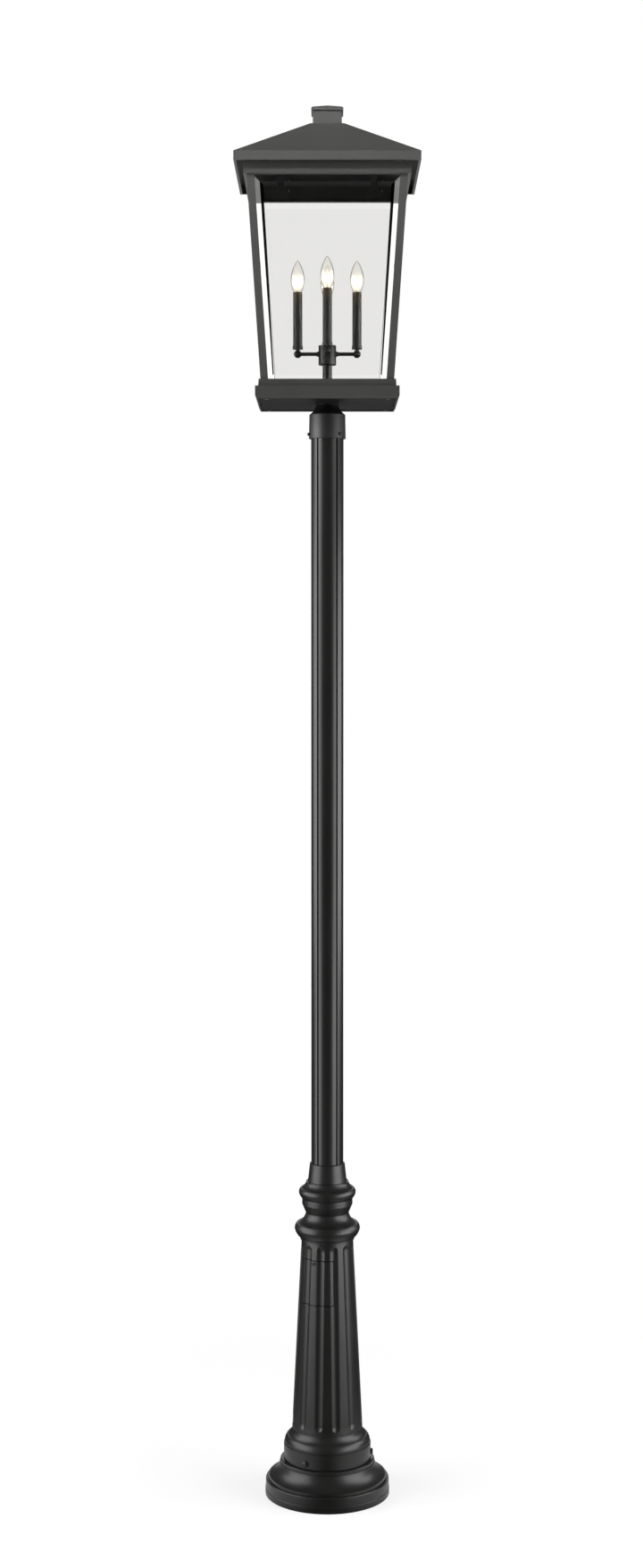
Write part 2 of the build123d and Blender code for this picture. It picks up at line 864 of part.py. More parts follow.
def post_screws():
    """Small screws, set from inside, that fix the tabs of the foot and of the top frame to the posts."""
    seat = -post_t - tab_gap - tab_t
    screw = lying(post_screw_r, (seat, 0, 0), -seat - post_screw_skin - sheet_gap)
    screw += lying(post_screw_head_r, (seat - post_screw_head_h, 0, 0), post_screw_head_h)
    places = [place for z in post_screw_heights() for place in post_screw_places(z)]
    return group([place * screw for place in places])


def glass_pane(turn):
    """Bevelled pane behind the legs of two posts, leaning with them."""
    low_z = deck_z + sheet_gap
    slope_h = (cage_top_z - sheet_gap - low_z) / math.cos(cage_lean) - glass_t * math.tan(cage_lean)
    high_z = low_z + slope_h * math.cos(cage_lean)
    low_half = cage_half(low_z) - glass_side_in
    high_half = cage_half(high_z) - glass_side_in
    outline = Polyline(
        (-low_half, 0), (low_half, 0), (high_half, slope_h), (-high_half, slope_h), close=True
    )
    full = make_face(outline.edges())
    face = offset(full, -glass_bevel).face()
    plain = extrude(full, glass_edge_t)
    bevel = loft([Pos(0, 0, glass_edge_t) * full, Pos(0, 0, glass_t) * face], ruled=True)
    back = post_t + sheet_gap + glass_t
    seat = Plane(
        origin=(cage_half(low_z) - back / math.cos(cage_lean), 0, low_z),
        x_dir=(0, 1, 0),
        z_dir=(math.cos(cage_lean), 0, -math.sin(cage_lean)),
    )
    return Rot(Z=turn) * (seat * (plain + bevel))


def glass_clips():
    """Bent strips on the posts that press the panes against the legs."""
    across = post_t + sheet_gap + glass_t + 2 * sheet_gap
    lap = [
        (post_t, across),
        (clip_cover, across),
        (clip_cover, across + clip_t),
        (post_t + clip_t, across + clip_t),
        (post_t + clip_t, clip_foot),
        (post_t, clip_foot),
    ]
    turned_lap = [(b, a) for a, b in lap]
    middle = (deck_z + cage_top_z) / 2
    clips = []
    for signs in corner_signs.values():
        high = middle + clip_offset
        low = middle - clip_offset
        clips.append(corner_prism(lap, high - clip_h / 2, high + clip_h / 2, signs))
        clips.append(corner_prism(turned_lap, low - clip_h / 2, low + clip_h / 2, signs))
    return group(clips)


def top_frame():
    """Square frame on the heads of the posts, with tabs behind them."""
    body = square(rail_half, cage_top_z, eave_z)
    body -= square(rail_half - rail_t, cage_top_z + rail_t, eave_z + 1)
    body -= square(rail_half - rail_flange, cage_top_z - 1, eave_z)
    tab = angle_points(post_t + tab_gap, tab_leg, tab_t)
    for signs in corner_signs.values():
        body += corner_prism(tab, cage_top_z - head_tab_h, cage_top_z, signs)
    return body - screw_holes(post_screw_r + thread_gap, post_screw_heights()[1])


# Roof


def roof_underside(y):
    """Height of the roof's inner face at a distance from the axis."""
    return roof_z + (eave_half - y) * math.tan(roof_pitch) - roof_t / math.cos(roof_pitch)


def roof_shell():
    """Hipped sheet roof with its fascia, the narrow soffit lip and the tabs it rests on."""
    body = square(eave_half, eave_z, roof_z)
    body += square(eave_half, roof_z, roof_top_z, roof_top_half)
    inner_half = eave_half - roof_t
    inner_z = roof_underside(inner_half)
    inner_top_z = roof_top_z - roof_t
    drop = inner_top_z - inner_z
    hollow = square(inner_half, inner_z, inner_top_z, inner_half - drop / math.tan(roof_pitch))
    hollow += square(inner_half, eave_z + roof_t, inner_z)
    hollow += square(eave_half - soffit_lip, eave_z - 1, inner_z)
    body -= hollow
    tab_y = rail_half - rail_t / 2
    tab_top_z = roof_underside(tab_y - rest_tab_t / 2)
    tab = Box(rest_tab_t, rest_tab_w, tab_top_z - eave_z, align=(Align.CENTER, Align.CENTER, Align.MIN))
    tab = Pos(0, 0, eave_z + sheet_gap) * tab
    for side in (-1, 1):
        body += Rot(Z=front) * Pos(tab_y, side * front_tab_at, 0) * tab
        body += Pos(side * tab_y, -side_tab_at, 0) * tab
    return body - upright(cap_bolt_r + sheet_gap, inner_top_z - 1, roof_top_z + 1)


def roof_chimney():
    """Square collar that stands on the flat top of the roof."""
    body = square(chimney_half, roof_top_z, cap_z)
    return body - square(chimney_half - chimney_wall, roof_top_z - 1, cap_z + 1)


def roof_cap():
    """Lid of the chimney, with a low pointed top and a spigot below."""
    bevel_z = cap_z + cap_skirt_h
    rise_z = bevel_z + cap_bevel_h
    flat_half = cap_half - cap_bevel_in
    body = square(cap_half, cap_z, bevel_z)
    body += square(cap_half, bevel_z, rise_z, flat_half)
    body += square(flat_half, rise_z, rise_z + cap_rise, cap_bolt_r)
    body += square(chimney_half - chimney_wall - sheet_gap, cap_z - cap_spigot_h, cap_z)
    return body - upright(cap_bolt_r + thread_gap, cap_z - cap_spigot_h - 1, bevel_z)


def roof_cap_bolt():
    """Bolt up through the roof and the chimney into the cap."""
    low_z = roof_top_z - roof_t
    body = upright(cap_bolt_r, low_z, cap_z + cap_skirt_h - 1)
    return body + upright(cap_bolt_head_r, low_z - cap_bolt_head_h, low_z)


# Hinges


def knuckle(start, width):
    return lying(knuckle_r, (start, hinge_y, hinge_z), width)


def hinge_bore(radius):
    return lying(radius, (-leaf_w, hinge_y, hinge_z), 2 * leaf_w)


def frame_hinge_leaves():
    """Hinge leaves on the inner face of the rear rail, each with two outer knuckles."""
    face_y = rail_half - rail_t
    plate = Pos(0, face_y - leaf_t / 2, eave_z - leaf_drop / 2) * Box(leaf_w, leaf_t, leaf_drop)
    ear_w = (leaf_w - middle_knuckle_w) / 2 - sheet_gap
    leaf = plate
    for start in (-leaf_w / 2, leaf_w / 2 - ear_w):
        ear = Pos(start + ear_w / 2, face_y - leaf_t / 2, eave_z + hinge_rise / 2)
        leaf += ear * Box(ear_w, leaf_t, hinge_rise)
        leaf += knuckle(start, ear_w)
    leaf -= hinge_bore(hinge_pin_r + pin_gap)
    return group([Pos(side * hinge_at, 0, 0) * leaf for side in (-1, 1)])


def roof_hinge_leaves():
    """Hinge leaves under the roof, each with the middle knuckle."""
    near_y = hinge_y - knuckle_r
    bend_y = near_y + leaf_t
    along = roof_leaf_len
    outline = Polyline(
        (near_y, hinge_z),
        (bend_y, hinge_z),
        (bend_y, roof_underside(bend_y)),
        (near_y - along, roof_underside(near_y - along)),
        (near_y - along, roof_underside(near_y - along) - leaf_t),
        (near_y, roof_underside(near_y) - leaf_t),
        close=True,
    )
    section = Plane.YZ * make_face(outline.edges())
    leaf = extrude(section, middle_knuckle_w / 2, both=True)
    leaf += knuckle(-middle_knuckle_w / 2, middle_knuckle_w)
    leaf -= hinge_bore(hinge_pin_r + pin_gap)
    return group([Pos(side * hinge_at, 0, 0) * leaf for side in (-1, 1)])


def hinge_pins():
    """Pins through the hinge knuckles, with a small head at one end."""
    pin = lying(hinge_pin_r, (-leaf_w / 2, hinge_y, hinge_z), leaf_w)
    pin += lying(knuckle_r - leaf_t / 2, (leaf_w / 2, hinge_y, hinge_z), leaf_t)
    return group([Pos(side * hinge_at, 0, 0) * pin for side in (-1, 1)])


# Lamp cluster


def center_stem():
    """Tube that stands on the plate and carries the lamp hub."""
    foot_top_z = stem_foot_z + stem_foot_t
    body = upright(stem_foot_r, stem_foot_z, foot_top_z) + upright(stem_r, foot_top_z, hub_cap_z)
    body += upright(spigot_r, hub_cap_z, hub_cap_z + spigot_h)
    body -= upright(stem_bore_r, stem_foot_z - 1, hub_cap_z + spigot_h + 1)
    for place in fitter_bolt_places():
        body -= place * upright(fitter_bolt_r + sheet_gap, stem_foot_z - 1, foot_top_z + 1)
        head_top_z = foot_top_z + fitter_bolt_head_h + 1
        body -= place * upright(fitter_bolt_head_r + sheet_gap, foot_top_z, head_top_z)
    return body


def stem_nut():
    """Nut inside the hub that clamps its lower cap to the stem."""
    low_z = hub_cap_z + hub_cap_t
    nut = Pos(0, 0, low_z) * extrude(RegularPolygon(stem_nut_flats / 2, 6, major_radius=False), stem_nut_h)
    return nut - upright(spigot_r + thread_gap, low_z - 1, low_z + stem_nut_h + 1)


def hub_cap():
    """Lower cup of the hub, with a rim that the hub's body sits over."""
    rim_r = hub_r - hub_wall - sheet_gap
    body = upright(hub_r, hub_cap_z, hub_z) + upright(rim_r, hub_z, hub_z + hub_cap_rim_h)
    body -= upright(rim_r - hub_wall, hub_cap_z + hub_cap_t, hub_z + hub_cap_rim_h + 1)
    return body - upright(spigot_r + sheet_gap, hub_cap_z - 1, hub_cap_z + hub_cap_t + 1)


def hub_body():
    """Round body of the hub, with a hole for each arm."""
    body = upright(hub_r, hub_z, hub_z + hub_h)
    body -= upright(hub_r - hub_wall, hub_z - 1, hub_z + hub_h - hub_wall)
    for turn in side_angles.values():
        body -= Rot(Z=turn) * lying(arm_r + thread_gap, (0, 0, arm_z), 2 * hub_r)
    return body


def lamp_arm(turn):
    """Arm from the hub to a ball elbow with a threaded nipple under the candle."""
    inner_r = hub_r - hub_wall - arm_tail
    body = lying(arm_r, (inner_r, 0, arm_z), arm_reach - inner_r)
    flare = Pos(hub_r, 0, arm_z) * Rot(Y=90) * Cone(
        arm_flare_r, arm_r, arm_flare_len, align=(Align.CENTER, Align.CENTER, Align.MIN)
    )
    place = Pos(arm_reach, 0, 0)
    body += flare
    body += place * Pos(0, 0, arm_z) * Sphere(ball_r)
    body += place * upright(ball_neck_r, arm_z, candle_cup_z)
    body += place * upright(nipple_r, candle_cup_z, candle_cup_z + nipple_h)
    body -= lying(arm_bore_r, (inner_r - 1, 0, arm_z), arm_reach - inner_r + 1)
    body -= place * upright(arm_bore_r, arm_z, candle_cup_z + nipple_h + 1)
    return Rot(Z=turn) * body


def candle_cups():
    """Shallow cups that hold the feet of the candle sleeves."""
    cup = upright(cup_ring_r, candle_cup_z, candle_cup_z + cup_ring_h)
    cup -= upright(cup_ring_r - cup_ring_wall, candle_z, candle_cup_z + cup_ring_h + 1)
    cup -= upright(nipple_r + thread_gap, candle_cup_z - 1, candle_z + 1)
    return group([Rot(Z=turn) * Pos(arm_reach, 0, 0) * cup for turn in side_angles.values()])


def candle_sleeve(turn):
    """Plain tube that covers a lamp socket."""
    body = upright(sleeve_r, candle_z, candle_top_z)
    body -= upright(sleeve_r - candle_wall, candle_z - 1, candle_top_z + 1)
    return Rot(Z=turn) * Pos(arm_reach, 0, 0) * body


def socket_top():
    return candle_top_z - socket_top_in


def lamp_socket(turn):
    """Candle socket on its leg, which stands on the cup and clips round the nipple."""
    top_z = socket_top()
    body = upright(socket_r, top_z - socket_h, top_z)
    body -= upright(socket_bore_r, top_z - socket_bore_depth, top_z + 1)
    body += upright(socket_foot_r, candle_z, candle_z + socket_foot_t)
    body -= upright(nipple_r + thread_gap, candle_z - 1, candle_z + socket_foot_t + 1)
    leg_h = top_z - socket_h - candle_z + socket_foot_t
    leg = Box(socket_leg_t, socket_leg_w, leg_h, align=(Align.MAX, Align.CENTER, Align.MIN))
    body += Pos(socket_foot_r, 0, candle_z) * leg
    return Rot(Z=turn) * Pos(arm_reach, 0, 0) * body


# Lamps


def lamp_base_z():
    """Height of the lamp's centre contact above the bottom of the socket's bore."""
    return socket_top() - socket_bore_depth + sheet_gap


def bulb_z():
    return socket_top() + sheet_gap + lamp_collar_h


def lamp_base(turn):
    """Screw shell of a lamp, with its centre contact and the collar round the glass."""
    low_z = lamp_base_z()
    body = turned(
        Polyline(
            (0, low_z),
            (lamp_tip_r, low_z),
            (lamp_tip_r, low_z + lamp_tip_h / 2),
            (lamp_base_r, low_z + lamp_tip_h),
            (lamp_base_r, bulb_z() - lamp_collar_h),
            (lamp_collar_r, bulb_z() - lamp_collar_h),
            (lamp_collar_r, bulb_z()),
            (0, bulb_z()),
            close=True,
        )
    )
    return Rot(Z=turn) * Pos(arm_reach, 0, 0) * body


def bulb_side(inset):
    """The side of the bulb from its neck to its tip, drawn in by a wall."""
    foot = (glass_neck_r - inset, bulb_z())
    belly = (bulb_r - inset, bulb_z() + bulb_belly_h)
    nose = (bulb_nose_r - inset / 2, bulb_z() + bulb_nose_h - inset / 2)
    tip = (0, bulb_z() + bulb_h - inset)
    return foot, tip, [
        TangentArc(belly, foot, tangent=(0, -1)),
        TangentArc(belly, nose, tangent=(0, 1)),
        Line(nose, tip),
    ]


def lamp_glass(turn):
    """Torpedo-shaped bulb on the lamp's base."""
    foot, tip, outer = bulb_side(0)
    inner_foot, inner_tip, inner = bulb_side(bulb_wall)
    body = turned(*outer, *inner, Line(foot, inner_foot), Line(tip, inner_tip))
    return Rot(Z=turn) * Pos(arm_reach, 0, 0) * body


def lamp_filament(turn):
    """Mount stem, leads and coil inside a bulb."""
    foot_z = bulb_z()
    stem_z = foot_z + mount_stem_h
    body = upright(mount_stem_r, foot_z, stem_z)
    for side in (-1, 1):
        body += Pos(0, side * lead_spread / 2, 0) * upright(lead_r, stem_z - 1, stem_z + lead_h)
    coil = Rot(Z=90) * lying(coil_r, (-lead_spread / 2 - 1, 0, stem_z + lead_h), lead_spread + 2)
    return Rot(Z=turn) * Pos(arm_reach, 0, 0) * (body + coil)


wall = column_wall()

parts = {
    "base_flange": base_flange(),
    "base_column": base_column(wall),
    "column_bolts": column_bolts(),
    "access_door": access_door(wall),
    "access_door_screw": access_door_screw(),
    "post_tube": post_tube(),
    "post_grub_screws": post_grub_screws(),
    "post_fitter": post_fitter(),
    "fitter_set_screws": fitter_set_screws(),
    "fitter_bolts": fitter_bolts(),
    "lantern_foot": base_frame(),
    "bottom_plate": bottom_plate(),
    "bottom_plate_screws": bottom_plate_screws(),
    "post_screws": post_screws(),
    "glass_clips": glass_clips(),
    "top_frame": top_frame(),
    "roof_shell": roof_shell(),
    "roof_chimney": roof_chimney(),
    "roof_cap": roof_cap(),
    "roof_cap_bolt": roof_cap_bolt(),
    "frame_hinge_leaves": frame_hinge_leaves(),
    "roof_hinge_leaves": roof_hinge_leaves(),
    "hinge_pins": hinge_pins(),
    "center_stem": center_stem(),
    "stem_nut": stem_nut(),
    "hub_cap": hub_cap(),
    "hub_body": hub_body(),
    "candle_cups": candle_cups(),
}
for corner, signs in corner_signs.items():
    parts["corner_post_" + corner] = corner_post(signs)
for side, turn in side_angles.items():
    parts["glass_pane_" + side] = glass_pane(turn)
    parts["lamp_arm_" + side] = lamp_arm(turn)
    parts["candle_sleeve_" + side] = candle_sleeve(turn)
    parts["lamp_socket_" + side] = lamp_socket(turn)
    parts["lamp_base_" + side] = lamp_base(turn)
    parts["lamp_glass_" + side] = lamp_glass(turn)
    parts["lamp_filament_" + side] = lamp_filament(turn)

for name, shape in parts.items():
    export_step(shape, os.path.join("parts", name + ".step"))
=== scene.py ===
import math

import bpy
from mathutils import Matrix, Vector


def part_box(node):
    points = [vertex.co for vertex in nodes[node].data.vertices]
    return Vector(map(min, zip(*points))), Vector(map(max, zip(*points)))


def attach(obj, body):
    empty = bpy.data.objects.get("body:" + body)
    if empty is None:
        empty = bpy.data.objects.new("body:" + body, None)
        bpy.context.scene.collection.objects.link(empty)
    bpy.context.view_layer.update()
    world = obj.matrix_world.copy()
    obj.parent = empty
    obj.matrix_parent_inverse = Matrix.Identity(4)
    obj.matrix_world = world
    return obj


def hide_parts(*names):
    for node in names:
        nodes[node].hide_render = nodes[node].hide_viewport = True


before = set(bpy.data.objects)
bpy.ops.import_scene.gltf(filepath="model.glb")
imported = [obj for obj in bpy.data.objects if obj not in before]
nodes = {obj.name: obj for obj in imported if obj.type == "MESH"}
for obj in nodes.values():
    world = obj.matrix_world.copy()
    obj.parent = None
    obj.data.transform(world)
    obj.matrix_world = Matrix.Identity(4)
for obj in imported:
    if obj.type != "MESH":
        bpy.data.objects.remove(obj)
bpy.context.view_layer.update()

# GROUND FLANGE. A turned aluminium casting with a moulded skirt, bolted to the footing. It wears the same
# satin black powder coat as the column. Values in a material are written as sums and products of the
# small class below, which adds the nodes they need.


class Value:
    """One value in a material's nodes. Sums and products of values add their own Math nodes."""

    def __init__(self, tree, socket=None):
        self.tree = tree
        self.socket = socket

    def node(self, kind, settings=None, sockets=None, output=0):
        """Adds a node, its settings first, then its sockets' values or links, and gives one output."""
        added = self.tree.nodes.new("ShaderNode" + kind)
        for name, value in (settings or {}).items():
            setattr(added, name, value)
        for name, value in (sockets or {}).items():
            if isinstance(value, Value):
                self.tree.links.new(value.socket, added.inputs[name])
            else:
                added.inputs[name].default_value = value
        return Value(self.tree, added.outputs[output] if added.outputs else None)

    def math(self, operation, first, second=0.0):
        return self.node("Math", {"operation": operation}, {0: first, 1: second})

    def __add__(self, other):
        return self.math("ADD", self, other)

    def __sub__(self, other):
        return self.math("SUBTRACT", self, other)

    def __rsub__(self, other):
        return self.math("SUBTRACT", other, self)

    def __mul__(self, other):
        return self.math("MULTIPLY", self, other)

    def __abs__(self):
        return self.math("ABSOLUTE", self)

    def least(self, other):
        return self.math("MINIMUM", self, other)

    def most(self, other):
        return self.math("MAXIMUM", self, other)

    def rise(self, low, high):
        """0 below low, 1 above high, and a smooth step between."""
        ends = {"Value": self, "From Min": low, "From Max": high}
        return self.node("MapRange", {"interpolation_type": "SMOOTHSTEP"}, ends)

    def colours(self, dark, light):
        """A colour that goes from dark to light as the value goes from 0 to 1."""
        ends = {"Factor": self}
        for socket, colour in ((6, dark), (7, light)):
            ends[socket] = colour if isinstance(colour, Value) else (*colour, 1.0)
        return self.node("Mix", {"data_type": "RGBA"}, ends, output=2)

    __radd__ = __add__
    __rmul__ = __mul__


def new_material(name):
    """A material with only its output, and a value to start its node tree from."""
    material = bpy.data.materials.new(name)
    material.use_nodes = True
    material.node_tree.nodes.clear()
    return material, Value(material.node_tree)


def place_on(start, coordinates="Object"):
    """The three parts of a place on the object, in its own coordinates."""
    place = start.node("TexCoord", output=coordinates)
    return [start.node("SeparateXYZ", sockets={0: place}, output=part) for part in "XYZ"]


def noise(start, scale, detail=2.0, stretch=None):
    """Noise from 0 to 1 over the object, its grains 1 / scale metres wide."""
    place = start.node("TexCoord", output="Object")
    if stretch:
        place = start.node("Mapping", sockets={"Vector": place, "Scale": stretch})
    return start.node("TexNoise", sockets={"Vector": place, "Scale": scale, "Detail": detail})


def shade(colour, share):
    return tuple(part * share for part in colour)


# A matt black that surfaces are mixed with, as painted shade.
painted_shade_black = (0.002, 0.002, 0.002, 1.0)


def finish_surface(start, tone, gloss, relief, edge=0.0, dull=None, **constants):
    """Links a surface to the output. Relief and the corners' radius are in metres; dull is a share of
    painted shade.
    """
    height = {"Strength": 1.0, "Distance": 1.0, "Height": relief}
    if edge:
        height["Normal"] = start.node("Bevel", {"samples": 4}, {"Radius": edge})
    sockets = {"Base Color": tone, "Roughness": gloss, "Normal": start.node("Bump", sockets=height)}
    sockets.update({name.replace("_", " "): value for name, value in constants.items()})
    surface = start.node("BsdfPrincipled", sockets=sockets)
    if dull is not None:
        matt = start.node("BsdfDiffuse", sockets={"Color": painted_shade_black})
        surface = start.node("MixShader", sockets={0: dull, 1: surface, 2: matt})
    start.node("OutputMaterial", sockets={"Surface": surface})


def painted_crease_shade(start, reach):
    """Painted shade: 1 deep in a corner, where shade falls, and 0 on open faces."""
    settings = {"samples": 6, "only_local": True}
    shelter = start.node("AmbientOcclusion", settings, {"Distance": reach}, output="AO")
    return (1 - shelter).rise(0.3, 0.75)


painted_crease_reach = 0.008
painted_shade_share = 0.65


def powder_coat(
    name,
    colour,
    roughness,
    grain,
    orange_peel,
    waves=0.0,
    edge=0.0006,
    crease_shade_share=0.8,
    painted_shade_above=None,
    painted_shade_below=None,
):
    """Baked powder coat: a fine grain in its gloss, orange peel, and the casting's slow waves below.

    The crease share is how much painted shade darkens its inner corners. Faces above or below a given height
    may be darkened by painted shade as well.
    """
    material, start = new_material(name)
    fine = noise(start, grain)
    slow = noise(start, 14.0, 3.0)
    dust = noise(start, 70.0, 4.0)
    tone = (slow * 0.55 + dust * 0.45).colours(shade(colour, 0.78), shade(colour, 1.25))
    gloss = (fine - 0.5) * 0.12 + (slow - 0.5) * 0.12 + roughness
    relief = fine * orange_peel + noise(start, 38.0) * waves
    # Painted shade in the inner corners.
    dull = painted_crease_shade(start, painted_crease_reach) * crease_shade_share
    z = place_on(start)[2]
    if painted_shade_above:
        dull = dull.most(z.rise(painted_shade_above, painted_shade_above + 0.006) * painted_shade_share)
    if painted_shade_below:
        dull = dull.most((1 - z.rise(painted_shade_below, painted_shade_below + 0.001)) * painted_shade_share)
    finish_surface(start, tone, gloss, relief, edge, dull)
    return material


def finish_node(name, material):
    """Gives a piece of the frame its finish."""
    nodes[name].data.materials.clear()
    nodes[name].data.materials.append(material)


foot_coat = (0.0105, 0.0105, 0.0098)
foot_black = powder_coat(
    "foot_black", foot_coat, roughness=0.36, grain=1400.0, orange_peel=0.000004, waves=0.00008
)
finish_node("base_flange", foot_black)

# COLUMN AND ACCESS DOOR. The fluted column drops over the flange's collar and is held by three hexagon
# bolts, painted with it. The door is cut from the same casting. Its screw is plain blackened steel.

for name in ("base_column", "access_door", "column_bolts"):
    finish_node(name, foot_black)


fine_edge = 0.0003


def blackened_steel(name, colour, roughness):
    """Black oxide on steel, rubbed a little brighter in places."""
    material, start = new_material(name)
    tone = noise(start, 260.0, 4.0).rise(0.52, 0.8).colours(colour, shade(colour, 2.4))
    gloss = noise(start, 900.0) * 0.2 + roughness
    relief = noise(start, 1600.0) * 0.000004
    finish_surface(start, tone, gloss, relief, fine_edge, Metallic=0.6)
    return material


screw_black = blackened_steel("screw_black", (0.03, 0.03, 0.031), roughness=0.34)
finish_node("access_door_screw", screw_black)

# POST TUBE. A drawn aluminium tube with narrow grooves along it, in a smoother, glossier black than the
# castings. Two grub screws at the rear of the column's rim grip it.

tube_r = float(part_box("post_tube")[1][0])


def drawn_coat(name, colour, roughness):
    """Thin smooth coat on drawn tube, with faint draw lines along it and painted shade in its grooves."""
    material, start = new_material(name)
    x, y, z = place_on(start)
    from_axis = start.math("POWER", x * x + y * y, 0.5)
    # Painted shade in the grooves.
    painted_groove_shade = 1 - from_axis.rise(tube_r - 0.0003, tube_r - 0.0001)
    lines = noise(start, 420.0, 3.0, stretch=(1.0, 1.0, 0.004))
    slow = noise(start, 9.0, 3.0)
    tone = (slow * 0.6 + lines * 0.4).colours(shade(colour, 0.85), shade(colour, 1.2))
    gloss = (lines - 0.5) * 0.06 + (slow - 0.5) * 0.08 + roughness
    relief = lines * 0.000003 + noise(start, 1500.0) * 0.000001
    finish_surface(start, tone, gloss, relief, fine_edge, painted_groove_shade * 0.9)
    return material


finish_node("post_tube", drawn_coat("post_black", (0.0095, 0.0095, 0.009), roughness=0.3))
finish_node("post_grub_screws", screw_black)

# POST FITTER. The cup over the top of the post and the neck under the lantern, one casting in the
# lantern's flatter black. Three set screws clamp it to the post. Three plated bolts hold the stem to it.

# The neck above this height, under the lantern foot, is darkened with painted shade.
neck_foot_z = float(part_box("bottom_plate")[0][2]) - 0.024
fitter_coat = (0.0165, 0.0165, 0.016)
fitter_black = powder_coat(
    "fitter_black",
    fitter_coat,
    roughness=0.44,
    grain=1100.0,
    orange_peel=0.000006,
    waves=0.00004,
    painted_shade_above=neck_foot_z,
)
finish_node("post_fitter", fitter_black)
finish_node("fitter_set_screws", screw_black)


def zinc_plate(name):
    """Bright zinc on steel, with the cloudy patches that plating has."""
    material, start = new_material(name)
    cloud = noise(start, 120.0, 4.0)
    tone = cloud.colours((0.42, 0.43, 0.45), (0.68, 0.69, 0.7))
    relief = noise(start, 1800.0) * 0.000003
    finish_surface(start, tone, cloud * 0.2 + 0.24, relief, fine_edge, Metallic=1.0)
    return material


zinc = zinc_plate("zinc")
finish_node("fitter_bolts", zinc)

# LANTERN FOOT. A stepped square casting, closed by a sheet plate from below with four screws. The posts
# stand on its deck, screwed to small tabs. It wears the lantern's flat, faintly warm black, with painted
# shade on the underside.

# The casting's lowest faces, below this height, get painted shade.
foot_low_z = float(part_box("lantern_foot")[0][2])
casting_coat = (0.04, 0.0395, 0.0373)
casting_black = powder_coat(
    "casting_black",
    casting_coat,
    roughness=0.5,
    grain=1100.0,
    orange_peel=0.000008,
    waves=0.00003,
    crease_shade_share=0.5,
    painted_shade_below=foot_low_z + 0.0002,
)
finish_node("lantern_foot", casting_black)
# The bottom plate's coat is darker than the foot's, and matt below this height: painted shade on the
# underside.
plate_shade_z = foot_low_z + 0.02
plate_shaded_coat = (0.012, 0.012, 0.0115)
plate_painted_shade_black = powder_coat(
    "plate_painted_shade_black", plate_shaded_coat, roughness=0.6, grain=1300.0, orange_peel=0.000005, painted_shade_below=plate_shade_z
)
finish_node("bottom_plate", plate_painted_shade_black)
finish_node("bottom_plate_screws", screw_black)

# CORNER POSTS AND TOP FRAME. Angle posts and a folded frame of aluminium sheet, in the foot's black,
# which lies a little smoother on sheet. The top frame gets a darker copy of it than the posts, painted
# shade for its rail in the shadow of the fascia. The screws that join them are set from inside.

sheet_coat = (0.053, 0.0525, 0.05)
sheet_black = powder_coat(
    "sheet_black", sheet_coat, roughness=0.48, grain=1300.0, orange_peel=0.000005, waves=0.00002, crease_shade_share=0.4
)
# A darker copy of the sheet's coat: painted shade for the rail under the fascia.
frame_shaded_coat = (0.039, 0.0385, 0.0367)
frame_painted_shade_black = powder_coat(
    "frame_painted_shade_black", frame_shaded_coat, roughness=0.48, grain=1300.0, orange_peel=0.000005, waves=0.00002, crease_shade_share=0.4
)
for corner in ("front_left", "front_right", "rear_right", "rear_left"):
    finish_node("corner_post_" + corner, sheet_black)
finish_node("top_frame", frame_painted_shade_black)
finish_node("post_screws", screw_black)

# GLASS PANES. Clear 4 mm glass, ground and polished to a mitred bevel round the outer face. The bevel
# bends the view past the rear posts. A painted dark line along its inner arris, near black on the front
# pane for the rear posts seen through it, and painted shade at the mitres stand in for that view. The
# bevel also has a painted glow of lamplight. Its mirror image is weak, as through a polarising filter.
# Clips press the panes to the posts from inside.

pane_low, pane_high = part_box("glass_pane_front")
pane_foot_z = float(pane_low[2])
pane_top_z = float(pane_high[2])
pane_top_half = float(pane_high[0])
pane_front = -float(pane_low[1])
pane_lean = 0.065
bevel_width = 0.016
bevel_depth = 0.003


def bevelled_glass(name, painted_line_width, painted_line_spread, arris):
    """Clear glass whose bevel and mitres follow the leaning edges, with a painted dark line at the arris,
    wider upwards by its spread, painted shade at the mitres and a painted glow in the bevel.
    """
    material, start = new_material(name)
    x, y, z = place_on(start)
    drop = (pane_top_z - z) * pane_lean
    side = pane_top_half - drop - abs(x).least(abs(y))
    ends = (z - pane_foot_z).least(pane_top_z - z)
    outside = 1 - (pane_front - drop - abs(x).most(abs(y))).rise(bevel_depth, bevel_depth + 0.0004)
    inward = side.least(ends)
    in_bevel = (1 - inward.rise(bevel_width - 0.0003, bevel_width)) * outside
    beside = 1 - (side - ends).rise(-0.001, 0.002)
    # Painted dark line along the bevel's inner arris, widening upwards.
    wide = painted_line_width + (z - pane_foot_z) * painted_line_spread
    past_painted_line = (inward - bevel_width - wide).rise(0.0, 0.0003)
    line = inward.rise(bevel_width - 0.0003, bevel_width) * (1 - past_painted_line)
    # Painted shade along the mitres.
    painted_mitre_shade = (1 - abs(side - ends).rise(0.0002, 0.0007)) * in_bevel
    dark = (line * beside).most(painted_mitre_shade * 0.5) * outside
    haze = noise(start, 30.0, 4.0)
    field = haze.colours((0.9, 0.897, 0.888), (0.91, 0.907, 0.899))
    clear = (in_bevel * (beside * 0.5 + 0.5)).colours(field, (1.0, 1.0, 1.0))
    tone = dark.colours(clear, (arris, arris, arris))
    # Painted glow: lamplight caught in the bevel.
    light = (in_bevel * beside * (1 - dark)).colours((0.0, 0.0, 0.0), (0.1, 0.099, 0.096))
    relief = noise(start, 11.0, 1.0) * 0.00001
    finish_surface(
        start,
        tone,
        0.0,
        relief,
        Transmission_Weight=1.0,
        IOR=1.5,
        Specular_Tint=(0.2, 0.2, 0.2, 1.0),
        Emission_Color=light,
        Emission_Strength=1.0,
    )
    return material


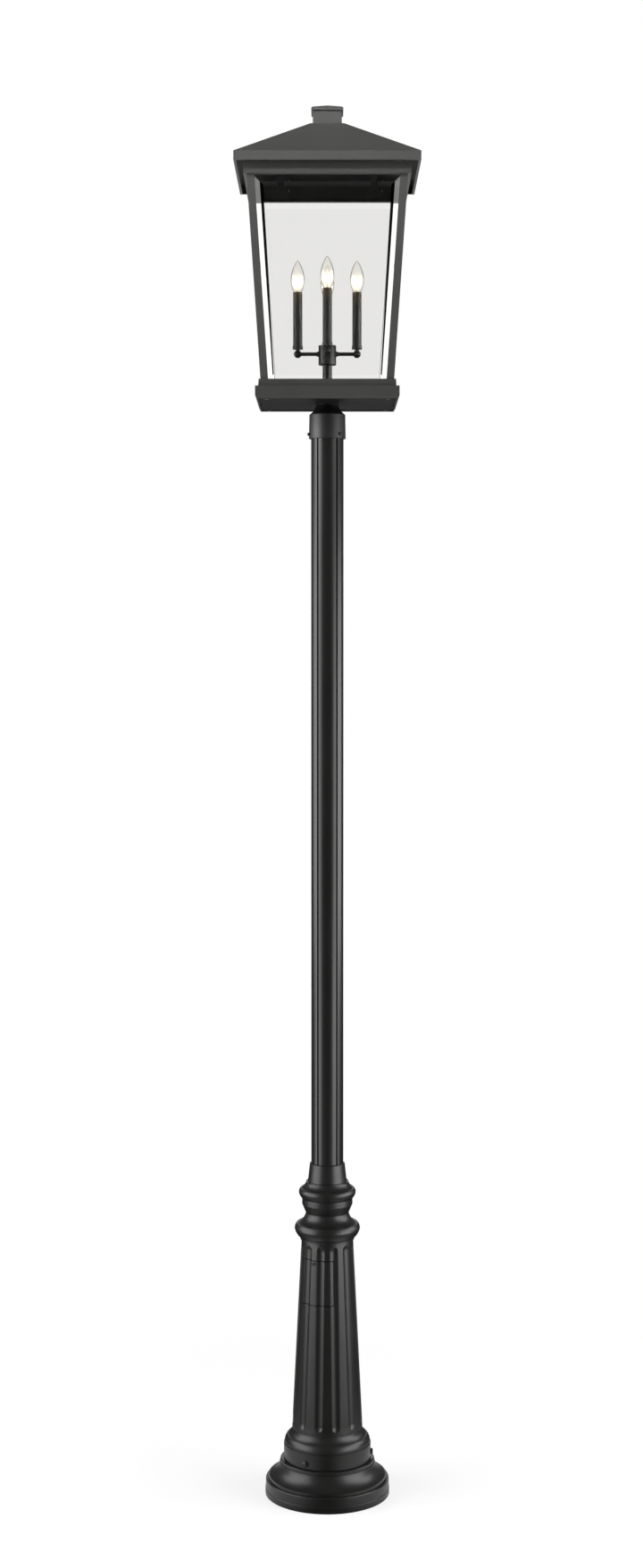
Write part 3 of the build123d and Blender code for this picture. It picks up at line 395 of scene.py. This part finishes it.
# The front pane's line is near black, painted for the rear posts seen through its bevel.
front_glass = bevelled_glass("front_glass", painted_line_width=0.0026, painted_line_spread=0.01, arris=0.005)
other_glass = bevelled_glass("other_glass", painted_line_width=0.0012, painted_line_spread=0.0, arris=0.35)
finish_node("glass_pane_front", front_glass)
for side in ("right", "rear", "left"):
    finish_node("glass_pane_" + side, other_glass)
finish_node("glass_clips", sheet_black)

# ROOF. Folded and welded sheet with a fascia, a square chimney and its cap. It turns up on two hinges
# at the rear, painted with it. A plated bolt inside draws the cap down.

roof_coat = (0.05, 0.0495, 0.0475)
roof_black = powder_coat(
    "roof_black",
    roof_coat,
    roughness=0.5,
    grain=1300.0,
    orange_peel=0.000005,
    waves=0.00003,
    edge=0.0009,
    crease_shade_share=0.35,
)
for name in ("roof_shell", "roof_chimney", "roof_cap", "frame_hinge_leaves", "roof_hinge_leaves"):
    finish_node(name, roof_black)
finish_node("hinge_pins", zinc)
finish_node("roof_cap_bolt", zinc)

# LAMP CLUSTER. A stem on the plate carries a round hub with four arms. Each arm ends in a ball elbow
# with a candle cup and sleeve over the socket. The sleeves' tops carry painted warm light from the lamps.

cluster_coat = (0.027, 0.0265, 0.0245)
cluster_black = powder_coat(
    "cluster_black", cluster_coat, roughness=0.44, grain=1300.0, orange_peel=0.000005
)
for name in ("center_stem", "hub_cap", "hub_body", "candle_cups"):
    finish_node(name, cluster_black)
finish_node("stem_nut", zinc)

sleeve_top_z = float(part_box("candle_sleeve_front")[1][2])


def lamplit_coat(name, colour, painted_lamplight, roughness):
    """The cluster's coat, with painted warm lamplight towards the top of the sleeve."""
    material, start = new_material(name)
    z = place_on(start)[2]
    cloud = noise(start, 60.0, 4.0)
    # Painted lamplight: the coat warmer towards the sleeve's top, near the lamps.
    heat = (z + cloud * 0.012).rise(sleeve_top_z - 0.03, sleeve_top_z + 0.008)
    plain = cloud.colours(shade(colour, 0.8), shade(colour, 1.2))
    tone = heat.colours(plain, painted_lamplight)
    relief = noise(start, 1300.0) * 0.000005
    finish_surface(start, tone, cloud * 0.1 + roughness, relief, fine_edge)
    return material


def moulded_plastic(name, colour):
    """Dark heat-proof moulding with a dull, slightly mottled skin."""
    material, start = new_material(name)
    mottle = noise(start, 300.0, 3.0)
    tone = mottle.colours(colour, shade(colour, 1.5))
    relief = noise(start, 1200.0) * 0.000006
    finish_surface(start, tone, mottle * 0.15 + 0.42, relief, fine_edge)
    return material


sleeve_coat = (0.03, 0.0295, 0.0255)
sleeve_black = lamplit_coat("sleeve_black", sleeve_coat, painted_lamplight=(0.085, 0.06, 0.03), roughness=0.42)
socket_plastic = moulded_plastic("socket_plastic", (0.02, 0.018, 0.016))
for side in ("front", "right", "rear", "left"):
    finish_node("lamp_arm_" + side, cluster_black)
    finish_node("candle_sleeve_" + side, sleeve_black)
    finish_node("lamp_socket_" + side, socket_plastic)

# LAMPS. Torpedo lamps on screw bases: a blown bulb of thin clear glass, a rolled brass shell, a black
# glass insulator with a soldered contact, a pressed glass mount with leads, and a coiled filament at
# full heat.

bulb_low, bulb_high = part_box("lamp_glass_front")
base_low, base_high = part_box("lamp_base_front")
bulb_foot_z = float(bulb_low[2])
base_foot_z = float(base_low[2])
base_top_z = float(base_high[2])
lamp_reach = -(float(bulb_low[1]) + float(bulb_high[1])) / 2
lamp_turns = {"front": -90.0, "right": 0.0, "rear": 90.0, "left": 180.0}


def bulb_glass(name, clear, glow):
    """Thin clear glass with a painted warm glow in its lower half, for the filament's light, and a painted
    darker rim.
    """
    material, start = new_material(name)
    z = place_on(start)[2]
    facing = start.node("LayerWeight", sockets={"Blend": 0.5}, output="Facing")
    height = z - bulb_foot_z
    # Painted glow of the filament's light in the glass.
    painted_glow_core = (1 - facing.rise(0.0, 0.5)) * height.rise(0.002, 0.02) * (1 - height.rise(0.018, 0.056))
    painted_glow_sheen = (1 - facing.rise(0.1, 0.85)) * (1 - height.rise(0.02, 0.07) * 0.45) * 0.15
    light = painted_glow_core.most(painted_glow_sheen).colours((0.0, 0.0, 0.0), glow)
    haze = noise(start, 40.0, 3.0)
    # Painted shade: the glass darker towards its outline.
    rim = facing.rise(0.7, 0.97)
    tone = rim.colours(haze.colours(shade(clear, 0.985), clear), shade(clear, 0.42))
    finish_surface(
        start,
        tone,
        0.0,
        haze * 0.00001,
        Transmission_Weight=1.0,
        IOR=1.5,
        Emission_Color=light,
        Emission_Strength=0.27,
    )
    return material


def draw_profile(name, points):
    """Draws a line of points (radius, height) in the XZ plane, as extruded vertices."""
    bpy.ops.object.select_all(action="DESELECT")
    bpy.ops.mesh.primitive_plane_add(size=0.001, location=(0.0, 0.0, 0.0))
    line = bpy.context.object
    line.name = name
    line.data.name = name
    bpy.ops.object.mode_set(mode="EDIT")
    bpy.ops.mesh.select_all(action="SELECT")
    bpy.ops.mesh.merge(type="CENTER")
    bpy.ops.transform.translate(value=(points[0][0], 0.0, points[0][1]))
    for (r0, z0), (r1, z1) in zip(points, points[1:]):
        step = {"value": (r1 - r0, 0.0, z1 - z0)}
        bpy.ops.mesh.extrude_region_move(TRANSFORM_OT_translate=step)
    return line


def turned_piece(name, points, steps=32):
    """Spins a drawn profile about the Z axis, closes its seam and turns its faces outward."""
    piece = draw_profile(name, points)
    bpy.ops.mesh.select_all(action="SELECT")
    bpy.ops.mesh.spin(steps=steps, angle=math.tau, center=(0.0, 0.0, 0.0), axis=(0.0, 0.0, 1.0))
    bpy.ops.mesh.select_all(action="SELECT")
    bpy.ops.mesh.remove_doubles(threshold=0.00001)
    bpy.ops.mesh.delete_loose(use_verts=True, use_edges=True, use_faces=False)
    bpy.ops.mesh.select_all(action="SELECT")
    bpy.ops.mesh.normals_make_consistent(inside=False)
    bpy.ops.object.mode_set(mode="OBJECT")
    bpy.ops.object.shade_smooth_by_angle(angle=math.radians(35.0))
    return piece


def wound_piece(name, points, pitch, turns, steps):
    """Winds a drawn profile into a screw about the Z axis, one pitch a turn, and closes its ends."""
    piece = draw_profile(name, points)
    bpy.ops.object.mode_set(mode="OBJECT")
    screw = piece.modifiers.new("screw", "SCREW")
    screw.axis = "Z"
    screw.angle = math.tau
    screw.screw_offset = pitch
    screw.iterations = turns
    screw.steps = steps
    screw.render_steps = steps
    screw.use_merge_vertices = True
    screw.merge_threshold = 0.00001
    bpy.ops.object.modifier_apply(modifier="screw")
    bpy.ops.object.mode_set(mode="EDIT")
    bpy.ops.mesh.select_all(action="SELECT")
    bpy.ops.mesh.remove_doubles(threshold=0.00001)
    bpy.ops.mesh.fill_holes(sides=0)
    bpy.ops.mesh.select_all(action="SELECT")
    bpy.ops.mesh.normals_make_consistent(inside=False)
    bpy.ops.object.mode_set(mode="OBJECT")
    bpy.ops.object.shade_smooth_by_angle(angle=math.radians(60.0))
    return piece


def join_pieces(name, pieces):
    """Joins pieces into the first one."""
    bpy.ops.object.select_all(action="DESELECT")
    for piece in pieces:
        piece.select_set(True)
    bpy.context.view_layer.objects.active = pieces[0]
    bpy.ops.object.join()
    pieces[0].name = name
    return pieces[0]


def to_each_lamp(model, kind, material, replaced):
    """Copies a piece made on the Z axis to the four lamps, each copy with its own mesh."""
    for side, turn in lamp_turns.items():
        piece = model.copy()
        piece.data = model.data.copy()
        piece.name = piece.data.name = kind + "_" + side
        bpy.context.scene.collection.objects.link(piece)
        place = Matrix.Rotation(math.radians(turn), 4, "Z") @ Matrix.Translation((lamp_reach, 0.0, 0.0))
        piece.data.transform(place)
        piece.data.materials.clear()
        piece.data.materials.append(material)
        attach(piece, "lamp_" + side)
        if replaced:
            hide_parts(replaced + "_" + side)
    bpy.data.objects.remove(model)


bulb_r = (float(bulb_high[0]) - float(bulb_low[0])) / 2
bulb_h = float(bulb_high[2]) - bulb_foot_z
belly_h = 0.03
nose_r = 0.0024
glass_wall = 0.0008
glass_neck_r = 0.0072


def bulb_side(inset, rows):
    """The side of the bulb from its neck to its rounded nose, drawn in by the wall."""
    belly_r, neck_r, tip_r = bulb_r - inset, glass_neck_r - inset, nose_r - inset
    top = bulb_h - inset - tip_r
    low_arc = (belly_h**2 + (belly_r - neck_r) ** 2) / (2 * (belly_r - neck_r))
    rise = top - belly_h
    high_arc = (belly_r**2 + rise**2 - tip_r**2) / (2 * (belly_r - tip_r))
    turn_in = math.atan2(rise, high_arc - belly_r)
    points = []
    for row in range(rows):
        height = belly_h * row / rows
        points.append((belly_r - low_arc + math.sqrt(low_arc**2 - (belly_h - height) ** 2), height))
    for row in range(rows):
        angle = turn_in * row / rows
        points.append((belly_r - high_arc * (1 - math.cos(angle)), belly_h + high_arc * math.sin(angle)))
    nose_rows = 5
    for row in range(nose_rows + 1):
        angle = turn_in + (math.pi / 2 - turn_in) * row / nose_rows
        points.append((tip_r * math.cos(angle), top + tip_r * math.sin(angle)))
    points[-1] = (0.0, points[-1][1])
    return [(r, bulb_foot_z + h) for r, h in points]


arc_rows = 14
outer = bulb_side(0.0, arc_rows)
inner = bulb_side(glass_wall, arc_rows)
bulb = turned_piece("lamp_bulb", outer + inner[::-1] + outer[:1], steps=48)
lamp_glass = bulb_glass("lamp_glass", (0.985, 0.98, 0.965), (1.0, 0.86, 0.62))
to_each_lamp(bulb, "lamp_bulb", lamp_glass, "lamp_glass")


def rolled_brass(name):
    """Thin rolled brass, clouded a little with age."""
    material, start = new_material(name)
    cloud = noise(start, 240.0, 4.0)
    tone = cloud.colours((0.42, 0.3, 0.12), (0.72, 0.55, 0.27))
    finish_surface(start, tone, cloud * 0.18 + 0.22, noise(start, 2200.0) * 0.000002, Metallic=1.0)
    return material


shell_r = 0.0052
shell_wall = 0.0003
throat_r = 0.0059
throat_bore_r = 0.0056
thread_r = 0.00595
pitch = 0.00254
thread_turns = 4
thread_z = base_foot_z + 0.0042
thread_top_z = thread_z + pitch * (thread_turns + 1)
collar_r = float(base_high[0])
thread = wound_piece(
    "shell_thread",
    [
        (shell_r, thread_z),
        (shell_r + 0.0001, thread_z + pitch * 0.22),
        (thread_r, thread_z + pitch * 0.45),
        (thread_r, thread_z + pitch * 0.62),
        (shell_r + 0.0001, thread_z + pitch * 0.86),
        (shell_r, thread_z + pitch),
    ],
    pitch,
    thread_turns,
    steps=28,
)
skirt = turned_piece(
    "shell_skirt",
    [
        (shell_r - shell_wall, thread_z - 0.0012),
        (shell_r, thread_z - 0.0006),
        (shell_r, thread_top_z + 0.0001),
        (throat_r, thread_top_z + 0.0009),
        (throat_r, base_top_z - 0.0022),
        (collar_r - 0.0004, base_top_z - 0.0014),
        (collar_r, base_top_z - 0.0008),
        (collar_r, base_top_z),
        (collar_r - shell_wall, base_top_z),
        (throat_bore_r, base_top_z - 0.0018),
        (throat_bore_r, thread_top_z + 0.001),
        (shell_r - shell_wall, thread_top_z + 0.0002),
        (shell_r - shell_wall, thread_z - 0.0012),
    ],
)
shell = join_pieces("lamp_shell", [skirt, thread])
to_each_lamp(shell, "lamp_shell", rolled_brass("rolled_brass"), "lamp_base")


def insulator_glass(name):
    """Black glass pressed into the foot of the shell."""
    material, start = new_material(name)
    swirl = noise(start, 500.0, 3.0)
    tone = swirl.colours((0.01, 0.008, 0.012), (0.04, 0.03, 0.045))
    finish_surface(start, tone, swirl * 0.1 + 0.08, swirl * 0.00002)
    return material


insulator = turned_piece(
    "lamp_insulator",
    [
        (0.0, base_foot_z + 0.0012),
        (0.0021, base_foot_z + 0.0012),
        (0.0034, base_foot_z + 0.0018),
        (shell_r - 0.0004, base_foot_z + 0.003),
        (shell_r - 0.0004, base_foot_z + 0.0045),
        (0.0, base_foot_z + 0.0045),
    ],
)
to_each_lamp(insulator, "lamp_insulator", insulator_glass("insulator_glass"), None)


def solder(name):
    """A dull drop of solder."""
    material, start = new_material(name)
    cloud = noise(start, 900.0, 3.0)
    tone = cloud.colours((0.35, 0.35, 0.36), (0.6, 0.6, 0.61))
    finish_surface(start, tone, cloud * 0.25 + 0.3, cloud * 0.00003, Metallic=1.0)
    return material


contact = turned_piece(
    "lamp_contact",
    [
        (0.0, base_foot_z),
        (0.001, base_foot_z + 0.0001),
        (0.0017, base_foot_z + 0.0005),
        (0.0019, base_foot_z + 0.0014),
        (0.0, base_foot_z + 0.0016),
    ],
    steps=16,
)
to_each_lamp(contact, "lamp_contact", solder("solder"), None)


def mount_glass(name):
    """Pressed lead glass of the mount, with a painted warm glow of the filament's light."""
    material, start = new_material(name)
    z = place_on(start)[2]
    seed = noise(start, 700.0, 3.0)
    tone = seed.colours((0.9, 0.86, 0.74), (0.97, 0.95, 0.88))
    # Painted glow, warmest towards the filament.
    near = (z - bulb_foot_z).rise(0.0, 0.018)
    light = near.colours((0.5, 0.26, 0.05), (1.0, 0.66, 0.25))
    finish_surface(
        start,
        tone,
        seed * 0.1 + 0.05,
        seed * 0.00002,
        Transmission_Weight=0.9,
        IOR=1.5,
        Emission_Color=light,
        Emission_Strength=0.35,
    )
    return material


press_z = bulb_foot_z + 0.0155
pinch_z = bulb_foot_z + 0.0105
mount = turned_piece(
    "lamp_mount",
    [
        (0.0, bulb_foot_z + 0.0002),
        (0.0052, bulb_foot_z + 0.0002),
        (0.0046, bulb_foot_z + 0.0016),
        (0.0028, bulb_foot_z + 0.005),
        (0.0023, bulb_foot_z + 0.009),
        (0.0024, bulb_foot_z + 0.0115),
        (0.0021, press_z - 0.0006),
        (0.0012, press_z),
        (0.0, press_z),
    ],
    steps=24,
)
bpy.ops.object.mode_set(mode="EDIT")
bpy.ops.mesh.select_all(action="DESELECT")
bpy.ops.object.mode_set(mode="OBJECT")
for vertex in mount.data.vertices:
    vertex.select = vertex.co.z > pinch_z
bpy.ops.object.mode_set(mode="EDIT")
bpy.ops.transform.resize(value=(0.45, 1.35, 1.0), center_override=(0.0, 0.0, press_z))
bpy.ops.object.mode_set(mode="OBJECT")
to_each_lamp(mount, "lamp_mount", mount_glass("mount_glass"), "lamp_filament")

coil_z = bulb_foot_z + 0.029
coil_half = 0.0042
lead_r = 0.0003


def wire_along(name, points, radius):
    """A round wire through points, drawn as a curve, made a mesh and closed at its ends."""
    curve = bpy.data.curves.new(name, "CURVE")
    curve.dimensions = "3D"
    curve.bevel_depth = radius
    curve.bevel_resolution = 2
    curve.use_fill_caps = True
    spline = curve.splines.new("NURBS")
    spline.points.add(len(points) - 1)
    for point, place in zip(spline.points, points):
        point.co = (*place, 1.0)
    spline.order_u = 3
    spline.use_endpoint_u = True
    wire = bpy.data.objects.new(name, curve)
    bpy.context.scene.collection.objects.link(wire)
    bpy.ops.object.select_all(action="DESELECT")
    wire.select_set(True)
    bpy.context.view_layer.objects.active = wire
    bpy.ops.object.convert(target="MESH")
    bpy.ops.object.mode_set(mode="EDIT")
    bpy.ops.mesh.select_all(action="SELECT")
    bpy.ops.mesh.remove_doubles(threshold=0.000001)
    bpy.ops.mesh.normals_make_consistent(inside=False)
    bpy.ops.object.mode_set(mode="OBJECT")
    return bpy.context.object


def nickel_wire(name):
    """Nickel wire, blued by heat."""
    material, start = new_material(name)
    cloud = noise(start, 800.0, 3.0)
    tone = cloud.colours((0.35, 0.27, 0.18), (0.6, 0.54, 0.45))
    finish_surface(start, tone, cloud * 0.15 + 0.25, cloud * 0.000005, Metallic=1.0)
    return material


leads = []
for hand in (-1.0, 1.0):
    leads.append(
        wire_along(
            "lead",
            [
                (0.0, hand * 0.0012, press_z - 0.004),
                (0.0, hand * 0.0014, press_z + 0.003),
                (0.0, hand * coil_half * 0.9, press_z + 0.008),
                (0.0, hand * coil_half, coil_z - 0.001),
                (0.0005, hand * coil_half, coil_z + 0.0006),
                (0.0003, hand * (coil_half - 0.0006), coil_z + 0.0003),
            ],
            lead_r,
        )
    )
leads.append(
    wire_along(
        "lead",
        [
            (0.0004, 0.0, press_z - 0.002),
            (0.0008, 0.0, press_z + 0.006),
            (0.0009, 0.0, coil_z - 0.002),
            (0.0, 0.0, coil_z + 0.0009),
            (-0.0007, 0.0, coil_z - 0.0002),
        ],
        lead_r * 0.6,
    )
)
lamp_leads = join_pieces("lamp_leads", leads)
to_each_lamp(lamp_leads, "lamp_leads", nickel_wire("nickel_wire"), None)


def lit_filament(name):
    """White-hot wire, its colour varying a little along it."""
    material, start = new_material(name)
    heat = noise(start, 700.0)
    tone = heat.colours((1.0, 0.62, 0.26), (1.0, 0.78, 0.46))
    finish_surface(start, tone, 0.5, heat * 0.000002, Emission_Color=tone, Emission_Strength=12.0)
    return material


coil_r = 0.00055
wire_r = 0.00017
coil_turns = 15
ring = [math.tau * k / 8 for k in range(9)]
coil = wound_piece(
    "lamp_coil",
    [(coil_r + wire_r * math.cos(a), wire_r * math.sin(a)) for a in ring],
    2 * coil_half / coil_turns,
    coil_turns,
    steps=12,
)
coil.data.transform(
    Matrix.Translation((0.0, 0.0, coil_z))
    @ Matrix.Rotation(math.radians(90.0), 4, "X")
    @ Matrix.Translation((0.0, 0.0, -coil_half))
)
to_each_lamp(coil, "lamp_coil", lit_filament("lit_filament"), None)

# STUDIO. A white floor and surround, with soft lights at both sides, above, in front and behind. Dark
# screens beside the set keep most of the white out of the black gloss. The camera stands 5.5 m in front,
# at the height of a raised tripod, and looks a little down.

# How bright the surround is to plain surfaces and to gloss, and what it and the floor send into the
# lantern through its panes, in place of the soft lights.
room_diffuse = 0.12
room_glossy = 0.1
panel_level = 5.9
floor_level_inside = 0.35


def kinds_of_ray(start):
    """Three values: 1 where the camera sees a surface, plainly or through glass, where a gloss mirrors it,
    and where light from it goes in through the lantern's panes."""

    def ray(output):
        return start.node("LightPath", output=output)

    through = ray("Is Transmission Ray") * (1 - (ray("Diffuse Depth") + ray("Glossy Depth")).least(1.0))
    seen = ray("Is Camera Ray").most(through)
    mirrored = ray("Is Glossy Ray") * (1 - seen)
    inside = ray("Transmission Depth").least(1.0) * (1 - seen)
    return seen, mirrored, inside


bpy.ops.object.select_all(action="DESELECT")
bpy.ops.mesh.primitive_grid_add(x_subdivisions=8, y_subdivisions=8, size=60.0, location=(0.0, 0.0, 0.0))
floor = bpy.context.object
floor.name = "studio_floor"
floor_white, start = new_material("floor_white")
x, y, z = place_on(start)
away = start.math("POWER", x * x + y * y, 0.5)
seen, mirrored, inside = kinds_of_ray(start)
paper = noise(start, 3.0).colours((0.14, 0.14, 0.14), (0.16, 0.16, 0.16))
lit = start.node("BsdfDiffuse", sockets={"Color": seen.colours(paper, (1.4, 1.4, 1.4))})
# Pale paper close by the foot and at both sides of it is what the black gloss mirrors.
near = abs(x).rise(0.03, 0.2) * (1 - away.rise(0.3, 0.6))
beside = abs(x).rise(0.15, 0.7) * (1 - away.rise(2.5, 4.5)) * (1 - y.rise(-0.2, 0.4))
pale = (near * 0.8 + beside * 0.45).least(0.9) + 0.03
level = seen + mirrored * pale + inside * floor_level_inside
glow = start.node("Emission", sockets={"Color": (1.0, 1.0, 1.0, 1.0), "Strength": level})
share = seen * (0.7 + away.rise(0.4, 1.6) * 0.3) + mirrored
mixed = start.node("MixShader", sockets={0: share, 1: lit, 2: glow})
start.node("OutputMaterial", sockets={"Surface": mixed})
floor.data.materials.append(floor_white)

surround = bpy.data.worlds.new("surround")
surround.use_nodes = True
surround.node_tree.nodes.clear()
sky = Value(surround.node_tree)
seen, mirrored, inside = kinds_of_ray(sky)
dx, dy, dz = place_on(sky, "Generated")
sideways = abs(dx).rise(0.55, 0.8) * (1 + dx * 0.25) * (1 - dy.rise(0.1, 0.4))
panels = sideways * dz.rise(-0.8, -0.45) * (1 - dz.rise(0.2, 0.4))
plain = seen + mirrored * room_glossy + (1 - seen) * (1 - mirrored) * room_diffuse
level = plain + inside * panels * panel_level
backdrop = sky.node("Background", sockets={"Color": (1.0, 1.0, 1.0, 1.0), "Strength": level})
sky.node("OutputWorld", sockets={"Surface": backdrop})
bpy.context.scene.world = surround

# Name, place, width and height, watts, the height aimed at, and the spread in degrees.
soft_lights = [
    ("left_low_light", (-2.44, -0.89, 0.4), (2.6, 1.0), 31.0, 0.5, 180.0),
    ("right_low_light", (2.34, -1.14, 0.4), (2.6, 1.0), 36.0, 0.5, 180.0),
    ("left_light", (-2.55, -0.5, 1.7), (3.3, 1.5), 61.0, 1.7, 180.0),
    ("right_light", (2.55, -0.45, 1.6), (3.5, 1.4), 66.0, 1.6, 180.0),
    ("left_high_light", (-2.44, -0.89, 3.4), (2.6, 1.7), 28.0, 3.2, 90.0),
    ("right_high_light", (2.34, -1.14, 3.5), (2.6, 1.5), 10.0, 3.3, 90.0),
    ("top_light", (0.0, 0.0, 5.8), (0.7, 0.7), 5.6, 3.1, 180.0),
    ("front_light", (-0.5, -2.8, 5.35), (0.8, 0.8), 2.5, 3.4, 22.0),
    ("back_light", (0.0, 4.5, 2.1), (2.2, 3.6), 26.0, 2.0, 180.0),
]
for name, place, (wide, high), power, aim_z, spread in soft_lights:
    light = bpy.data.lights.new(name, "AREA")
    light.shape = "RECTANGLE"
    light.size = wide
    light.size_y = high
    light.energy = power
    light.spread = math.radians(spread)
    lamp = bpy.data.objects.new(name, light)
    bpy.context.scene.collection.objects.link(lamp)
    aim = Vector((0.0, 0.0, aim_z)) - Vector(place)
    lamp.location = place
    lamp.rotation_euler = aim.to_track_quat("-Z", "Y").to_euler()
    # Not in sight of the camera, and not through the panes either.
    lamp.visible_camera = False
    lamp.visible_transmission = False

photo_rows = 1757
focal_rows = 2613
axis_right = 6.5
camera_data = bpy.data.cameras.new("camera")
camera_data.sensor_width = 36.0
camera_data.lens = focal_rows / photo_rows * camera_data.sensor_width
camera_data.shift_x = -axis_right / photo_rows
camera = bpy.data.objects.new("camera", camera_data)
bpy.context.scene.collection.objects.link(camera)
camera.location = (0.0, -5.5, 2.075)
camera.rotation_euler = (math.radians(90.0 - 3.8), 0.0, 0.0)
bpy.context.scene.camera = camera
bpy.context.scene.view_settings.view_transform = "Standard"
